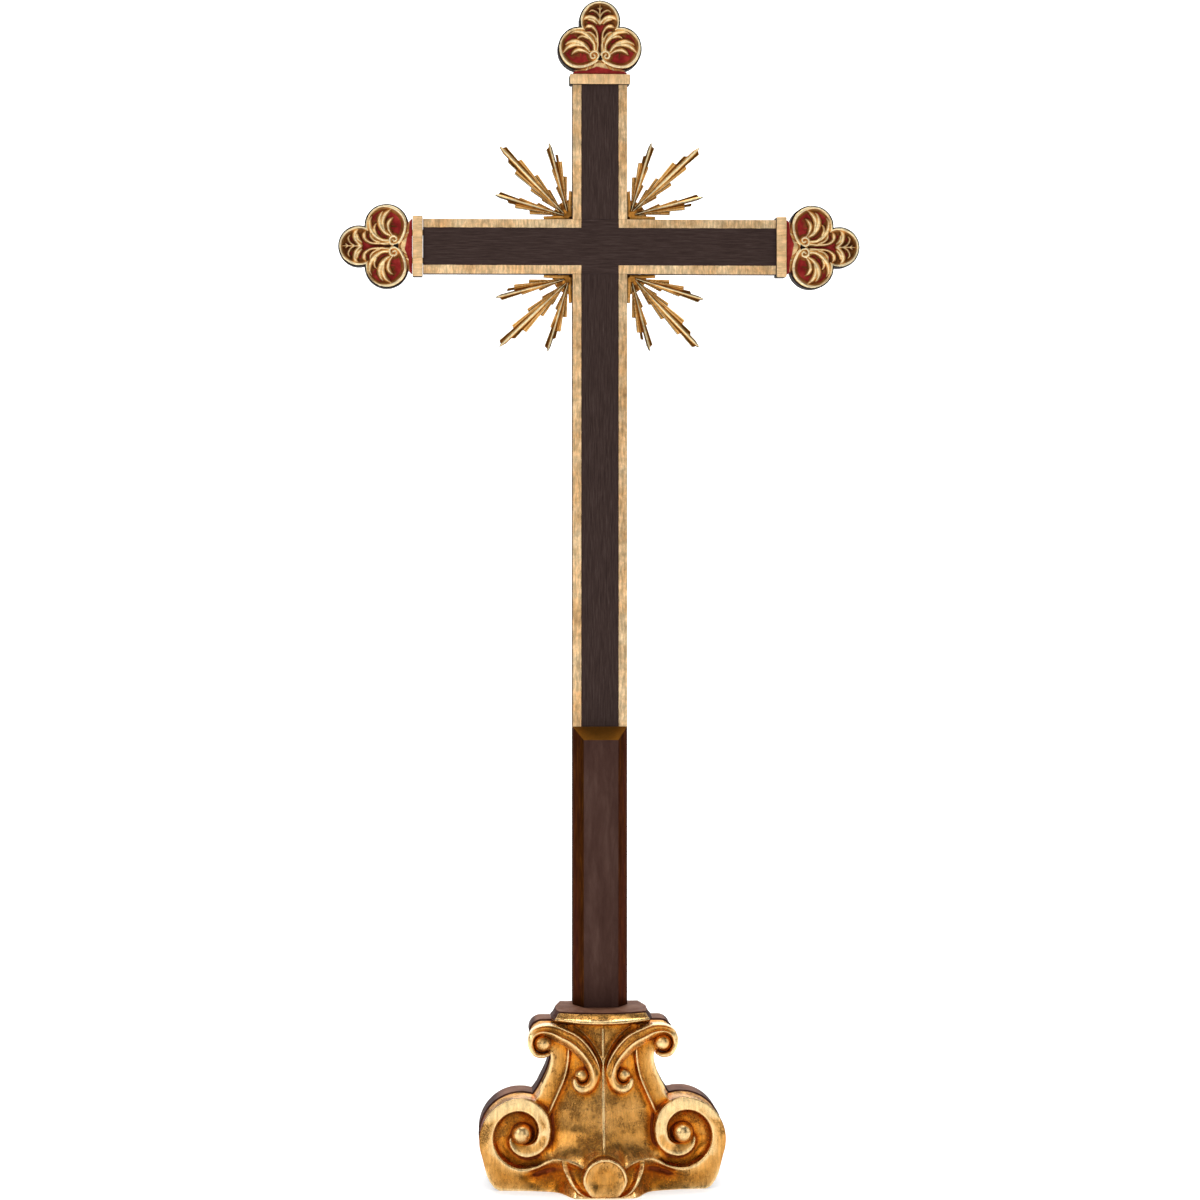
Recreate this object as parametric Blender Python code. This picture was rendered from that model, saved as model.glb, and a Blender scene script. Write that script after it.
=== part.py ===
"""Altar cross: a tall gilded standing cross on a carved scroll base.

All sizes below are in millimetres and to_mesh scales them to metres.
+Z is up, the front faces -Y, and the origin is at the centre of the bottom of the bounding box.
"""

import math

import bmesh
import bpy
from mathutils import Matrix, Vector

MM = 0.001
GAP = 0.3                       # clearance between pieces that touch
PAST = 5.0                      # how far a cutter runs out of the piece it cuts
ROUND = 40.0                    # degrees: shallower edges of a round piece are shaded smooth

# Depths: every piece of the cross and of the base is flush at the back
BACK = 63.0
BEAM_DEPTH = 25.0
BEAM_FRONT = BACK - BEAM_DEPTH

# Beams
BEAM_WIDTH = 54.5
HALF_BEAM = BEAM_WIDTH / 2
ARM_CENTRE_Z = 930.25           # height of the crossbeam's centre line
ARM_REACH = 176.6               # centre line to the collar's inner face
UPRIGHT_TOP = 1092.0
LAP_Y = BACK - BEAM_DEPTH / 2   # plane where the two halves of the half-lap meet

# Collars and finials
COLLAR_HALF_WIDTH = 30.2
COLLAR_THICK = 10.4
COLLAR_PROUD = 3.2              # how far a collar stands in front of its beam
COLLAR_ROUND = 1.6
FINIAL_HEIGHT = 74.0
FINIAL_PROUD = 1.0
END_LOBE_RADIUS = 20.6
SIDE_LOBE_RADIUS = 22.0
SIDE_LOBE_X = 20.0
SIDE_LOBE_Z = 25.8
NECK_HALF_WIDTH = 24.0
NECK_FLARE = 26.8
NECK_HEIGHT = 6.0
RIM_WIDTH = 3.0
FIELD_DEPTH = 5.0               # how deep the carved field lies behind the rim

# Stem cheek
PLATE_TOP_Z = 173.3
CHEEK_TOP_Z = 451.0
CHEEK_DEPTH = 21.0
CHEEK_FACE_HALF = 17.3
CHEEK_TOP_BEVEL = 12.0

# Rays: (half angle in degrees, length) of each step, longest first
RAY_FRONT = BEAM_FRONT + 5.0
RAY_THICK = 9.0
RAY_ROOT = 27.0
DIAGONAL_STEPS = [(1.6, 103.5), (3.6, 86.0), (6.3, 76.0), (9.0, 54.0), (11.6, 36.0)]
SIDE_STEPS = [(1.9, 81.0), (4.2, 64.0), (6.6, 52.0), (9.0, 38.0)]
SIDE_RAY_ANGLE = 18.0

# Base
PLATE_THICK = 12.0
PLATE_HALF_WIDTH = 46.0
PLATE_FRONT_CENTRE = -19.0
PLATE_FRONT_CORNER = 2.0
PLATE_CHAMFER = 15.0
CONSOLE_FRONT = -16.0
UPPER_SLAB_FRONT = -8.0         # front of the consoles behind the C-scrolls
UPPER_SLAB_Z = 94.0
VOLUTE_CENTRE = (79.6, 48.0)
VOLUTE_RADIUS = 42.0
VOLUTE_EYE = (79.4, 53.6)
CHANNEL_DEPTH = 13.0
UPPER_LOBE = (58.5, 148.0)
UPPER_LOBE_RADIUS = 13.4
BASE_BODY_TOP = PLATE_TOP_Z - PLATE_THICK - GAP
C_SCROLL_FRONT = -24.0
C_SCROLL_BACK = UPPER_SLAB_FRONT - GAP
EYE_BACK = C_SCROLL_BACK + 0.8  # the eyes are let in a little deeper than the scrolls
EYE_SHANK = 4.0
EYE_SIDES = 16
EYE_ROWS = 5
VOLUTE_EYE_RADIUS = 10.3
OUTER_EYE = (59.6, 143.9)
OUTER_EYE_RADIUS = 9.3
INNER_EYE = (20.4, 111.4)
INNER_EYE_RADIUS = 7.3
FOOT_FRONT = -63.0
FOOT_BACK = -38.0
FOOT_RADIUS = 21.5
FOOT_CENTRE_Z = 17.0
FOOT_HALF_WIDTH = 36.5

# The joint between the core and each console: (height, distance from the centre line)
CORE_JOINT = [
    (0.0, 37.0), (22.0, 37.5), (34.0, 49.5), (50.0, 49.5), (78.0, 50.5),
    (95.0, 41.0), (111.0, 33.0), (136.0, 30.0), (BASE_BODY_TOP, 28.0),
]
# The core's front at those heights: (depth at the side, half way, at the keel)
CORE_FRONT = [
    (-28.0, -37.7, -37.7), (-24.0, -37.7, -37.7), (-11.0, -25.0, -37.7), (-7.0, -19.0, -37.0),
    (-3.0, -13.0, -31.0), (-3.0, -12.0, -27.0), (-4.0, -11.0, -23.0), (-5.0, -10.0, -19.0),
    (-6.0, -9.0, -15.0),
]

# The lower volute's channel about its eye: (angle in degrees, radius), 0 towards the centre line
CHANNEL_OUTER = [(0, 15.0), (90, 23.0), (190, 28.5), (265, 32.6), (318, 36.0)]
CHANNEL_INNER = [(0, 9.0), (187, 9.0), (200, 13.0), (274, 22.8), (318, 26.0)]

# C-scroll centre line from the outer eye to the inner eye: (across, height, half width)
C_SCROLL = [
    (53.6, 134.0, 1.8), (59.6, 132.0, 2.4), (67.2, 134.6, 2.7), (71.2, 143.6, 3.0),
    (69.0, 152.2, 3.9), (61.6, 156.6, 5.2), (51.0, 156.0, 6.8), (41.0, 151.5, 7.8),
    (29.0, 145.0, 8.2), (18.4, 134.5, 7.6), (10.6, 122.4, 6.4), (8.2, 111.4, 5.9),
    (11.6, 102.8, 5.8), (19.0, 99.0, 5.5), (25.6, 102.0, 4.4), (27.8, 108.0, 2.6),
]

# Fixings; a reach is how far a dowel runs into the piece on either side of its joint
DOWEL_RADIUS = 4.0
FINIAL_DOWEL_RADIUS = 3.0
FINIAL_DOWEL_OFFSET = 14.0
FINIAL_DOWEL_REACH = (22.0, 30.0)
PIN_RADIUS = 1.2
PIN_OFFSET = 13.0
PIN_REACH = (12.0, 3.2)
LAP_PEG_OFFSET = 12.0
LAP_PEG_ENDS = (BACK - 0.5, BEAM_FRONT + 5.0)
CHEEK_DOWEL_HEIGHTS = (("lower", 320.0), ("upper", 405.0))
CHEEK_DOWEL_ENDS = (BACK - 10.0, BEAM_FRONT - 14.0)
FOOT_DOWEL_OFFSET = 11.0
FOOT_DOWEL_ENDS = (FOOT_FRONT + 10.0, FOOT_BACK + 22.0)
PLATE_DOWEL_OFFSET = 11.0
PLATE_DOWEL_Y = 27.0
PLATE_DOWEL_REACH = (42.0, 34.0)
ROD_RADIUS = 4.0
ROD_Y = 47.0
ROD_TOP_Z = 285.0
WASHER_RADIUS = 11.5
WASHER_THICK = 2.0
NUT_ACROSS_CORNERS = 15.0
NUT_THICK = 6.5
ROD_POCKET_RADIUS = 13.0
ROD_POCKET_Z = 26.0

# Finishes: base colour, roughness, metallic
FINISHES = {
    "brown_paint": ((0.055, 0.036, 0.032), 0.55, 0.0),
    "stem_paint": ((0.070, 0.042, 0.036), 0.50, 0.0),
    "pale_gilding": ((0.80, 0.56, 0.28), 0.35, 0.9),
    "base_gilding": ((0.72, 0.42, 0.13), 0.30, 0.9),
    "ray_gilding": ((0.60, 0.33, 0.08), 0.35, 0.9),
    "red_bole": ((0.35, 0.03, 0.025), 0.50, 0.1),
    "beech": ((0.55, 0.36, 0.20), 0.65, 0.0),
    "zinc_steel": ((0.55, 0.56, 0.58), 0.35, 1.0),
}


def clear_scene():
    for old in list(bpy.data.objects):
        bpy.data.objects.remove(old, do_unlink=True)


def finish(name):
    """The Principled material of one finish."""
    material = bpy.data.materials.get(name)
    if material:
        return material
    material = bpy.data.materials.new(name)
    material.use_nodes = True
    shader = material.node_tree.nodes["Principled BSDF"]
    colour, roughness, metallic = FINISHES[name]
    shader.inputs["Base Color"].default_value = (*colour, 1.0)
    shader.inputs["Roughness"].default_value = roughness
    shader.inputs["Metallic"].default_value = metallic
    return material


def add_empty(name, parent=None):
    empty = bpy.data.objects.new(name, None)
    bpy.context.scene.collection.objects.link(empty)
    empty.parent = parent
    return empty


def add_object(name, mesh, parent, at=(0, 0, 0), turn=0.0):
    """Place a mesh at a point in millimetres, turned about the Y axis by degrees."""
    piece = bpy.data.objects.new(name, mesh)
    bpy.context.scene.collection.objects.link(piece)
    piece.location = Vector(at) * MM
    piece.rotation_euler = (0.0, math.radians(turn), 0.0)
    piece.parent = parent
    return piece


def to_mesh(name, shape, material, smooth_angle=None):
    """Turn a bmesh in millimetres into a mesh in metres, shaded smooth up to an angle."""
    bmesh.ops.scale(shape, vec=(MM, MM, MM), verts=shape.verts)
    bmesh.ops.recalc_face_normals(shape, faces=shape.faces)
    mesh = bpy.data.meshes.new(name)
    shape.to_mesh(mesh)
    shape.free()
    mesh.materials.append(finish(material))
    if smooth_angle:
        mesh.shade_smooth()
        mesh.set_sharp_from_angle(angle=math.radians(smooth_angle))
    return mesh


def prism(outline, front, back):
    """A bmesh of an (x, z) outline carried from one depth to another."""
    shape = bmesh.new()
    corners = [shape.verts.new((x, front, z)) for x, z in outline]
    face = shape.faces.new(corners)
    carried = bmesh.ops.extrude_face_region(shape, geom=[face])
    moved = [item for item in carried["geom"] if isinstance(item, bmesh.types.BMVert)]
    bmesh.ops.translate(shape, verts=moved, vec=(0, back - front, 0))
    return shape


def block(low, high):
    """A bmesh box between two corners."""
    outline = [(low[0], low[2]), (high[0], low[2]), (high[0], high[2]), (low[0], high[2])]
    return prism(outline, low[1], high[1])


def loft(rings):
    """A closed bmesh of triangles through rings of equal point count, with flat ends."""
    shape = bmesh.new()
    rows = [[shape.verts.new(point) for point in ring] for ring in rings]
    for lower, upper in zip(rows, rows[1:]):
        for index, start in enumerate(lower):
            after = (index + 1) % len(lower)
            shape.faces.new((start, lower[after], upper[after], upper[index]))
    shape.faces.new(rows[0])
    shape.faces.new(rows[-1])
    bmesh.ops.triangulate(shape, faces=shape.faces)
    return shape


def rod(start, end, radius, sides=12):
    """A bmesh cylinder between two points."""
    start, end = Vector(start), Vector(end)
    run = end - start
    shape = bmesh.new()
    bmesh.ops.create_cone(
        shape, cap_ends=True, segments=sides, radius1=radius, radius2=radius, depth=run.length
    )
    place = Matrix.Translation((start + end) / 2) @ run.to_track_quat("Z", "Y").to_matrix().to_4x4()
    bmesh.ops.transform(shape, matrix=place, verts=shape.verts)
    return shape


def arc(centre, radius, start, end, steps):
    """Points on an arc, in degrees, both ends included."""
    points = []
    for step in range(steps + 1):
        angle = math.radians(start + (end - start) * step / steps)
        points.append((centre[0] + radius * math.cos(angle), centre[1] + radius * math.sin(angle)))
    return points


def mirrored(outline, side):
    """The outline for one side: +1 is right, -1 is left with its order kept outward."""
    if side > 0:
        return outline
    return [(-x, z) for x, z in reversed(outline)]


def cut(piece, cutter):
    modifier = piece.modifiers.new("cut_" + cutter.name, "BOOLEAN")
    modifier.operation = "DIFFERENCE"
    modifier.solver = "EXACT"
    modifier.object = cutter


def add_cutter(name, shape, parent, at=(0, 0, 0), turn=0.0):
    cutter = add_object(name, to_mesh(name, shape, "beech"), parent, at, turn)
    cutter.hide_render = True
    cutter.display_type = "WIRE"
    return cutter


def add_dowel(name, start, end, radius, joined, parent, material="beech"):
    """A dowel between two points, with a clearance hole in each piece that it joins."""
    start, end = Vector(start), Vector(end)
    along = (end - start).normalized() * GAP
    sides = 12 if radius > 2.0 else 8
    hole = rod(start - along, end + along, radius + GAP, sides)
    cutter = add_cutter(name + "_hole", hole, parent)
    for piece in joined:
        cut(piece, cutter)
    shape = rod(start, end, radius, sides)
    return add_object(name, to_mesh(name, shape, material, ROUND), parent)


# ---------------------------------------------------------------- cross


def add_beams(parent):
    """The two beams, half-lapped at the crossing."""
    low_z = PLATE_TOP_Z + GAP
    shape = block((-HALF_BEAM, BEAM_FRONT, low_z), (HALF_BEAM, BACK, UPRIGHT_TOP))
    upright = add_object("upright_beam", to_mesh("upright_beam", shape, "brown_paint"), parent)
    arm_low = ARM_CENTRE_Z - HALF_BEAM
    arm_high = ARM_CENTRE_Z + HALF_BEAM
    shape = block((-ARM_REACH, BEAM_FRONT, arm_low), (ARM_REACH, BACK, arm_high))
    arm = add_object("crossbeam", to_mesh("crossbeam", shape, "brown_paint"), parent)

    shape = block(
        (-HALF_BEAM - PAST, BEAM_FRONT - PAST, arm_low - GAP),
        (HALF_BEAM + PAST, LAP_Y + GAP / 2, arm_high + GAP),
    )
    cut(upright, add_cutter("upright_housing", shape, parent))
    shape = block(
        (-HALF_BEAM - GAP, LAP_Y - GAP / 2, arm_low - PAST),
        (HALF_BEAM + GAP, BACK + PAST, arm_high + PAST),
    )
    cut(arm, add_cutter("arm_housing", shape, parent))
    return upright, arm


def add_cheek(parent):
    """The stem facing: a flat front with broad chamfers at both sides and the top."""
    low_z = PLATE_TOP_Z + GAP
    back = BEAM_FRONT - GAP
    front = back - CHEEK_DEPTH

    def ring(depth, half_width, top):
        return [
            (-half_width, depth, low_z), (half_width, depth, low_z),
            (half_width, depth, top), (-half_width, depth, top),
        ]

    shape = loft([
        ring(back, HALF_BEAM, CHEEK_TOP_Z),
        ring(front, CHEEK_FACE_HALF, CHEEK_TOP_Z - CHEEK_TOP_BEVEL),
    ])
    return add_object("stem_cheek", to_mesh("stem_cheek", shape, "stem_paint"), parent)


def collar_mesh():
    """A collar standing on the local origin, +Z away from its beam."""
    shape = block(
        (-COLLAR_HALF_WIDTH, BEAM_FRONT - COLLAR_PROUD, GAP),
        (COLLAR_HALF_WIDTH, BACK, COLLAR_THICK),
    )
    front_edges = [
        edge for edge in shape.edges
        if all(vert.co.y < BACK - 1 for vert in edge.verts)
    ]
    bmesh.ops.bevel(
        shape, geom=front_edges, offset=COLLAR_ROUND, segments=2, profile=0.5, affect="EDGES"
    )
    return to_mesh("collar", shape, "pale_gilding", ROUND)


def trefoil_outline():
    """The finial's outline: a neck under three lobes, counter-clockwise from the lower right."""
    base_z = COLLAR_THICK + GAP
    end_z = COLLAR_THICK + FINIAL_HEIGHT - END_LOBE_RADIUS
    side_z = COLLAR_THICK + SIDE_LOBE_Z
    right = [(NECK_FLARE, base_z), (NECK_FLARE, base_z + 1.2)]
    right.append((NECK_HALF_WIDTH, base_z + NECK_HEIGHT / 2))
    right += arc((SIDE_LOBE_X, side_z), SIDE_LOBE_RADIUS, -78, 92, 12)
    right += arc((0, end_z), END_LOBE_RADIUS, -14, 90, 8)
    left = [(-x, z) for x, z in reversed(right[:-1])]
    return right + left


def finial_field_outline(inset):
    """The sunk field inside the rim, one closed outline through the three lobes."""
    end_z = COLLAR_THICK + FINIAL_HEIGHT - END_LOBE_RADIUS
    side_z = COLLAR_THICK + SIDE_LOBE_Z
    side = SIDE_LOBE_RADIUS - inset
    end = END_LOBE_RADIUS - inset
    right = arc((SIDE_LOBE_X, side_z), side, -120, 100, 12) + arc((0, end_z), end, -22, 90, 7)
    left = [(-x, z) for x, z in reversed(right[:-1])]
    return right + left


def finial_mesh():
    """A finial on the same local origin as its collar."""
    shape = prism(trefoil_outline(), BEAM_FRONT - FINIAL_PROUD, BACK)
    return to_mesh("finial", shape, "red_bole")


def ray_outline():
    """Three stepped rays that fan out of one inner corner, in the quarter above and right."""
    def steps(centre_angle, rows):
        points = []
        inner = list(reversed(rows))
        reach = RAY_ROOT
        for half_angle, length in inner:
            points.append((centre_angle - half_angle, reach))
            points.append((centre_angle - half_angle, length))
            reach = length
        falling = [(2 * centre_angle - angle, length) for angle, length in reversed(points)]
        return points + falling

    fan = steps(SIDE_RAY_ANGLE, SIDE_STEPS)
    fan += steps(45.0, DIAGONAL_STEPS)
    fan += steps(90.0 - SIDE_RAY_ANGLE, SIDE_STEPS)
    outline = [(GAP, GAP), (RAY_ROOT, GAP)]
    for angle, length in fan:
        turn = math.radians(angle)
        outline.append((length * math.cos(turn), length * math.sin(turn)))
    outline.append((GAP, RAY_ROOT))
    return outline


def ray_mesh():
    shape = prism(ray_outline(), RAY_FRONT, RAY_FRONT + RAY_THICK)
    return to_mesh("ray_cluster", shape, "ray_gilding")


def add_ends(parent, upright, arm):
    """Collars, finials and their dowels at the three free ends."""
    collar = collar_mesh()
    finial = finial_mesh()
    field = finial_field_outline(RIM_WIDTH)
    ends = [
        ("top", upright, (0, 0, UPRIGHT_TOP), 0, Vector((0, 0, 1)), Vector((1, 0, 0))),
        ("left", arm, (-ARM_REACH, 0, ARM_CENTRE_Z), -90, Vector((-1, 0, 0)), Vector((0, 0, 1))),
        ("right", arm, (ARM_REACH, 0, ARM_CENTRE_Z), 90, Vector((1, 0, 0)), Vector((0, 0, 1))),
    ]
    for end, beam, at, turn, outward, across in ends:
        collar_piece = add_object("collar_" + end, collar, parent, at, turn)
        finial_piece = add_object("finial_" + end, finial, parent, at, turn)
        pocket = prism(field, BEAM_FRONT - PAST, BEAM_FRONT - FINIAL_PROUD + FIELD_DEPTH)
        cut(finial_piece, add_cutter(f"finial_{end}_field", pocket, parent, at, turn))
        middle = Vector(at) + Vector((0, LAP_Y, 0))
        inward_reach, outward_reach = FINIAL_DOWEL_REACH
        for number, offset in ((1, -FINIAL_DOWEL_OFFSET), (2, FINIAL_DOWEL_OFFSET)):
            seat = middle + across * offset
            add_dowel(
                f"finial_{end}_dowel_{number}", seat - outward * inward_reach,
                seat + outward * outward_reach, FINIAL_DOWEL_RADIUS,
                (beam, collar_piece, finial_piece), parent,
            )


def add_rays(parent, upright, arm):
    """Four ray clusters and the pins that hold them to both beams."""
    rays = ray_mesh()
    corners = [
        ("upper_right", 1, 1, 0), ("lower_right", 1, -1, 90),
        ("lower_left", -1, -1, 180), ("upper_left", -1, 1, 270),
    ]
    pin_y = RAY_FRONT + RAY_THICK / 2
    into_beam, into_ray = PIN_REACH
    for corner, right, up, turn in corners:
        at = Vector((right * HALF_BEAM, 0, ARM_CENTRE_Z + up * HALF_BEAM))
        cluster = add_object("ray_cluster_" + corner, rays, parent, at, turn)
        seat = at + Vector((right * PIN_OFFSET, pin_y, 0))
        outward = Vector((0, 0, up))
        add_dowel(
            f"ray_pin_{corner}_arm", seat - outward * into_beam, seat + outward * into_ray,
            PIN_RADIUS, (arm, cluster), parent, "zinc_steel",
        )
        seat = at + Vector((0, pin_y, up * PIN_OFFSET))
        outward = Vector((right, 0, 0))
        add_dowel(
            f"ray_pin_{corner}_upright", seat - outward * into_beam, seat + outward * into_ray,
            PIN_RADIUS, (upright, cluster), parent, "zinc_steel",
        )


# ---------------------------------------------------------------- base


def add_plate(parent):
    """The moulded plate: a bowed front edge, cut corners and a cove below."""
    def ring(z, spread):
        half = PLATE_HALF_WIDTH + spread
        shoulder = half - PLATE_CHAMFER
        corner_y = PLATE_FRONT_CORNER - spread
        centre_y = PLATE_FRONT_CENTRE - spread
        edge = corner_y - 8.0
        return [
            (-half, BACK, z), (-half, corner_y + 8.0, z), (-shoulder, edge, z),
            (-shoulder / 2, (edge + 3 * centre_y) / 4, z), (0, centre_y, z),
            (shoulder / 2, (edge + 3 * centre_y) / 4, z), (shoulder, edge, z),
            (half, corner_y + 8.0, z), (half, BACK, z),
        ]

    low = PLATE_TOP_Z - PLATE_THICK
    levels = [(low, -4.0), (low + 2.2, 0.0), (low + 4.5, 0.0), (low + 7.0, -3.0), (PLATE_TOP_Z, -4.5)]
    shape = loft([ring(z, spread) for z, spread in levels])
    return add_object("base_top_plate", to_mesh("base_top_plate", shape, "base_gilding"), parent)


def add_core(parent):
    """The keeled middle block, lofted through horizontal sections."""
    rings = []
    for (z, half), (side_y, middle_y, keel_y) in zip(CORE_JOINT, CORE_FRONT):
        half -= GAP
        rings.append([
            (-half, BACK - GAP, z), (-half, side_y, z), (-half / 2, middle_y, z), (0, keel_y, z),
            (half / 2, middle_y, z), (half, side_y, z), (half, BACK - GAP, z),
        ])
    shape = loft(rings)
    core = add_object("base_core", to_mesh("base_core", shape, "base_gilding"), parent)
    pocket = rod((0, ROD_Y, -PAST), (0, ROD_Y, ROD_POCKET_Z), ROD_POCKET_RADIUS, 16)
    cut(core, add_cutter("rod_pocket", pocket, parent))
    return core


def console_outline():
    """The right console: the volute below, the leg and the upper lobe."""
    outline = [(CORE_JOINT[0][1], 0.0), (101.5, 0.0), (108.5, 5.5), (114.5, 15.5)]
    outline += arc(VOLUTE_CENTRE, VOLUTE_RADIUS, -20, 106, 12)
    outline += [(60.5, 101.0), (54.6, 114.0), (50.8, 128.0), (52.0, 134.5)]
    outline += arc(UPPER_LOBE, UPPER_LOBE_RADIUS, -80, 90, 8)
    outline += [(half, z) for z, half in reversed(CORE_JOINT[1:])]
    return outline


def radius_at(table, angle):
    for (low, first), (high, last) in zip(table, table[1:]):
        if angle <= high:
            return first + (last - first) * (angle - low) / (high - low)
    return table[-1][1]


def channel_outline():
    """The spiral channel round the lower eye, on the right side."""
    step = 15
    turns = list(range(0, 316, step)) + [318]
    outer = [(angle, radius_at(CHANNEL_OUTER, angle)) for angle in turns]
    inner = [(angle, radius_at(CHANNEL_INNER, angle)) for angle in reversed(turns)]
    points = []
    for angle, radius in outer + inner:
        turn = math.radians(angle)
        points.append((
            VOLUTE_EYE[0] - radius * math.cos(turn), VOLUTE_EYE[1] + radius * math.sin(turn)
        ))
    return points


def add_console(side, name, parent):
    outline = mirrored(console_outline(), side)
    shape = prism(outline, CONSOLE_FRONT, BACK - GAP)
    console = add_object(name, to_mesh(name, shape, "base_gilding"), parent)
    low, high = sorted((side * 10.0, side * 100.0))
    step = block(
        (low, CONSOLE_FRONT - PAST, UPPER_SLAB_Z), (high, UPPER_SLAB_FRONT, BASE_BODY_TOP + PAST)
    )
    cut(console, add_cutter(name + "_step", step, parent))
    channel = prism(
        mirrored(channel_outline(), side), CONSOLE_FRONT - PAST, CONSOLE_FRONT + CHANNEL_DEPTH
    )
    cut(console, add_cutter(name + "_channel", channel, parent))
    return console


def smooth_path(path, steps=2):
    """The path with Catmull-Rom points added between its own."""
    fine = []
    ends = [path[0]] + path + [path[-1]]
    for a, b, c, d in zip(ends, ends[1:], ends[2:], ends[3:]):
        for step in range(steps):
            t = step / steps
            fine.append(tuple(
                0.5 * (2 * q + (r - p) * t + (2 * p - 5 * q + 4 * r - s) * t ** 2
                       + (3 * q - p - 3 * r + s) * t ** 3)
                for p, q, r, s in zip(a, b, c, d)
            ))
    return fine + [path[-1]]


def ribbon_outline(path, spread=0.0):
    """The outline of a ribbon of changing width along a smooth centre line."""
    path = smooth_path(path)
    left = []
    right = []
    for index, (x, z, half) in enumerate(path):
        before = path[max(index - 1, 0)]
        after = path[min(index + 1, len(path) - 1)]
        along = Vector((after[0] - before[0], after[1] - before[1])).normalized()
        normal = Vector((-along.y, along.x)) * (half + spread)
        left.append((x + normal.x, z + normal.y))
        right.append((x - normal.x, z - normal.y))
    return left + right[::-1]


def add_c_scroll(side, name, parent, behind):
    """An applied C-scroll, let into the pieces behind it."""
    shape = prism(mirrored(ribbon_outline(C_SCROLL), side), C_SCROLL_FRONT, C_SCROLL_BACK)
    scroll = add_object(name, to_mesh(name, shape, "base_gilding"), parent)
    housing = prism(
        mirrored(ribbon_outline(C_SCROLL, GAP), side), C_SCROLL_FRONT - PAST, C_SCROLL_BACK + GAP
    )
    cutter = add_cutter(name + "_housing", housing, parent)
    for piece in behind:
        cut(piece, cutter)
    return scroll


def add_eye(name, centre, radius, back, side, parent, around):
    """A turned bead on a short shank, facing forward."""
    x, z = side * centre[0], centre[1]
    front = back - EYE_SHANK
    profile = [(radius, back), (radius, front)]
    for row in range(1, EYE_ROWS):
        angle = math.radians(90.0 * row / EYE_ROWS)
        profile.append((radius * math.cos(angle), front - radius * math.sin(angle)))
    layers = []
    for reach, depth in profile:
        layers.append([
            (x + reach * math.cos(2 * math.pi * step / EYE_SIDES), depth,
             z + reach * math.sin(2 * math.pi * step / EYE_SIDES))
            for step in range(EYE_SIDES)
        ])
    eye = add_object(name, to_mesh(name, loft(layers), "base_gilding", ROUND), parent)
    seat = rod((x, back + GAP, z), (x, front - radius - PAST, z), radius + GAP, EYE_SIDES)
    cutter = add_cutter(name + "_seat", seat, parent)
    for piece in around:
        cut(piece, cutter)
    return eye


def foot_outline():
    """The shell foot: a half disc with a petal flaring down on either side."""
    right = [(12.0, 0.0), (24.0, 0.0), (FOOT_HALF_WIDTH, 8.0), (FOOT_HALF_WIDTH, 21.0), (26.0, 20.0)]
    right += arc((0, FOOT_CENTRE_Z), FOOT_RADIUS, 12, 90, 7)
    left = [(-x, z) for x, z in reversed(right[:-1])]
    return right + left


def add_foot(parent):
    front = foot_outline()
    rear = [(x * 0.96, z * 0.97) for x, z in front]
    shape = loft([
        [(x, FOOT_BACK, z) for x, z in rear],
        [(x, FOOT_FRONT, z) for x, z in front],
    ])
    return add_object("foot_lunette", to_mesh("foot_lunette", shape, "base_gilding"), parent)


def add_tie_rod(parent, upright, plate, core):
    """The threaded rod with its washer and nut, reached from below the base."""
    nut_top = ROD_POCKET_Z - WASHER_THICK - GAP
    nut_low = nut_top - NUT_THICK - GAP
    add_dowel(
        "tie_rod", (0, ROD_Y, nut_low - 4), (0, ROD_Y, ROD_TOP_Z), ROD_RADIUS,
        (upright, plate, core), parent, "zinc_steel",
    )
    washer = add_object("rod_washer", to_mesh(
        "rod_washer",
        rod((0, ROD_Y, nut_top), (0, ROD_Y, ROD_POCKET_Z - GAP), WASHER_RADIUS, 20),
        "zinc_steel",
    ), parent)
    nut = add_object("rod_nut", to_mesh(
        "rod_nut",
        rod((0, ROD_Y, nut_low), (0, ROD_Y, nut_top - GAP), NUT_ACROSS_CORNERS / 2, 6),
        "zinc_steel",
    ), parent)
    bore = rod((0, ROD_Y, nut_low - 8), (0, ROD_Y, ROD_POCKET_Z + 8), ROD_RADIUS + GAP, 12)
    cutter = add_cutter("nut_bore", bore, parent)
    cut(washer, cutter)
    cut(nut, cutter)


def build_cross(root):
    parent = add_empty("cross_assembly", root)
    upright, arm = add_beams(parent)
    cheek = add_cheek(parent)
    add_ends(parent, upright, arm)
    add_rays(parent, upright, arm)
    rear, front = LAP_PEG_ENDS
    for name, x in (("lap_peg_left", -LAP_PEG_OFFSET), ("lap_peg_right", LAP_PEG_OFFSET)):
        add_dowel(
            name, (x, rear, ARM_CENTRE_Z), (x, front, ARM_CENTRE_Z), DOWEL_RADIUS, (upright, arm), parent
        )
    rear, front = CHEEK_DOWEL_ENDS
    for label, z in CHEEK_DOWEL_HEIGHTS:
        add_dowel(
            "cheek_dowel_" + label, (0, rear, z), (0, front, z), DOWEL_RADIUS, (upright, cheek), parent
        )
    return upright, cheek


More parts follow.
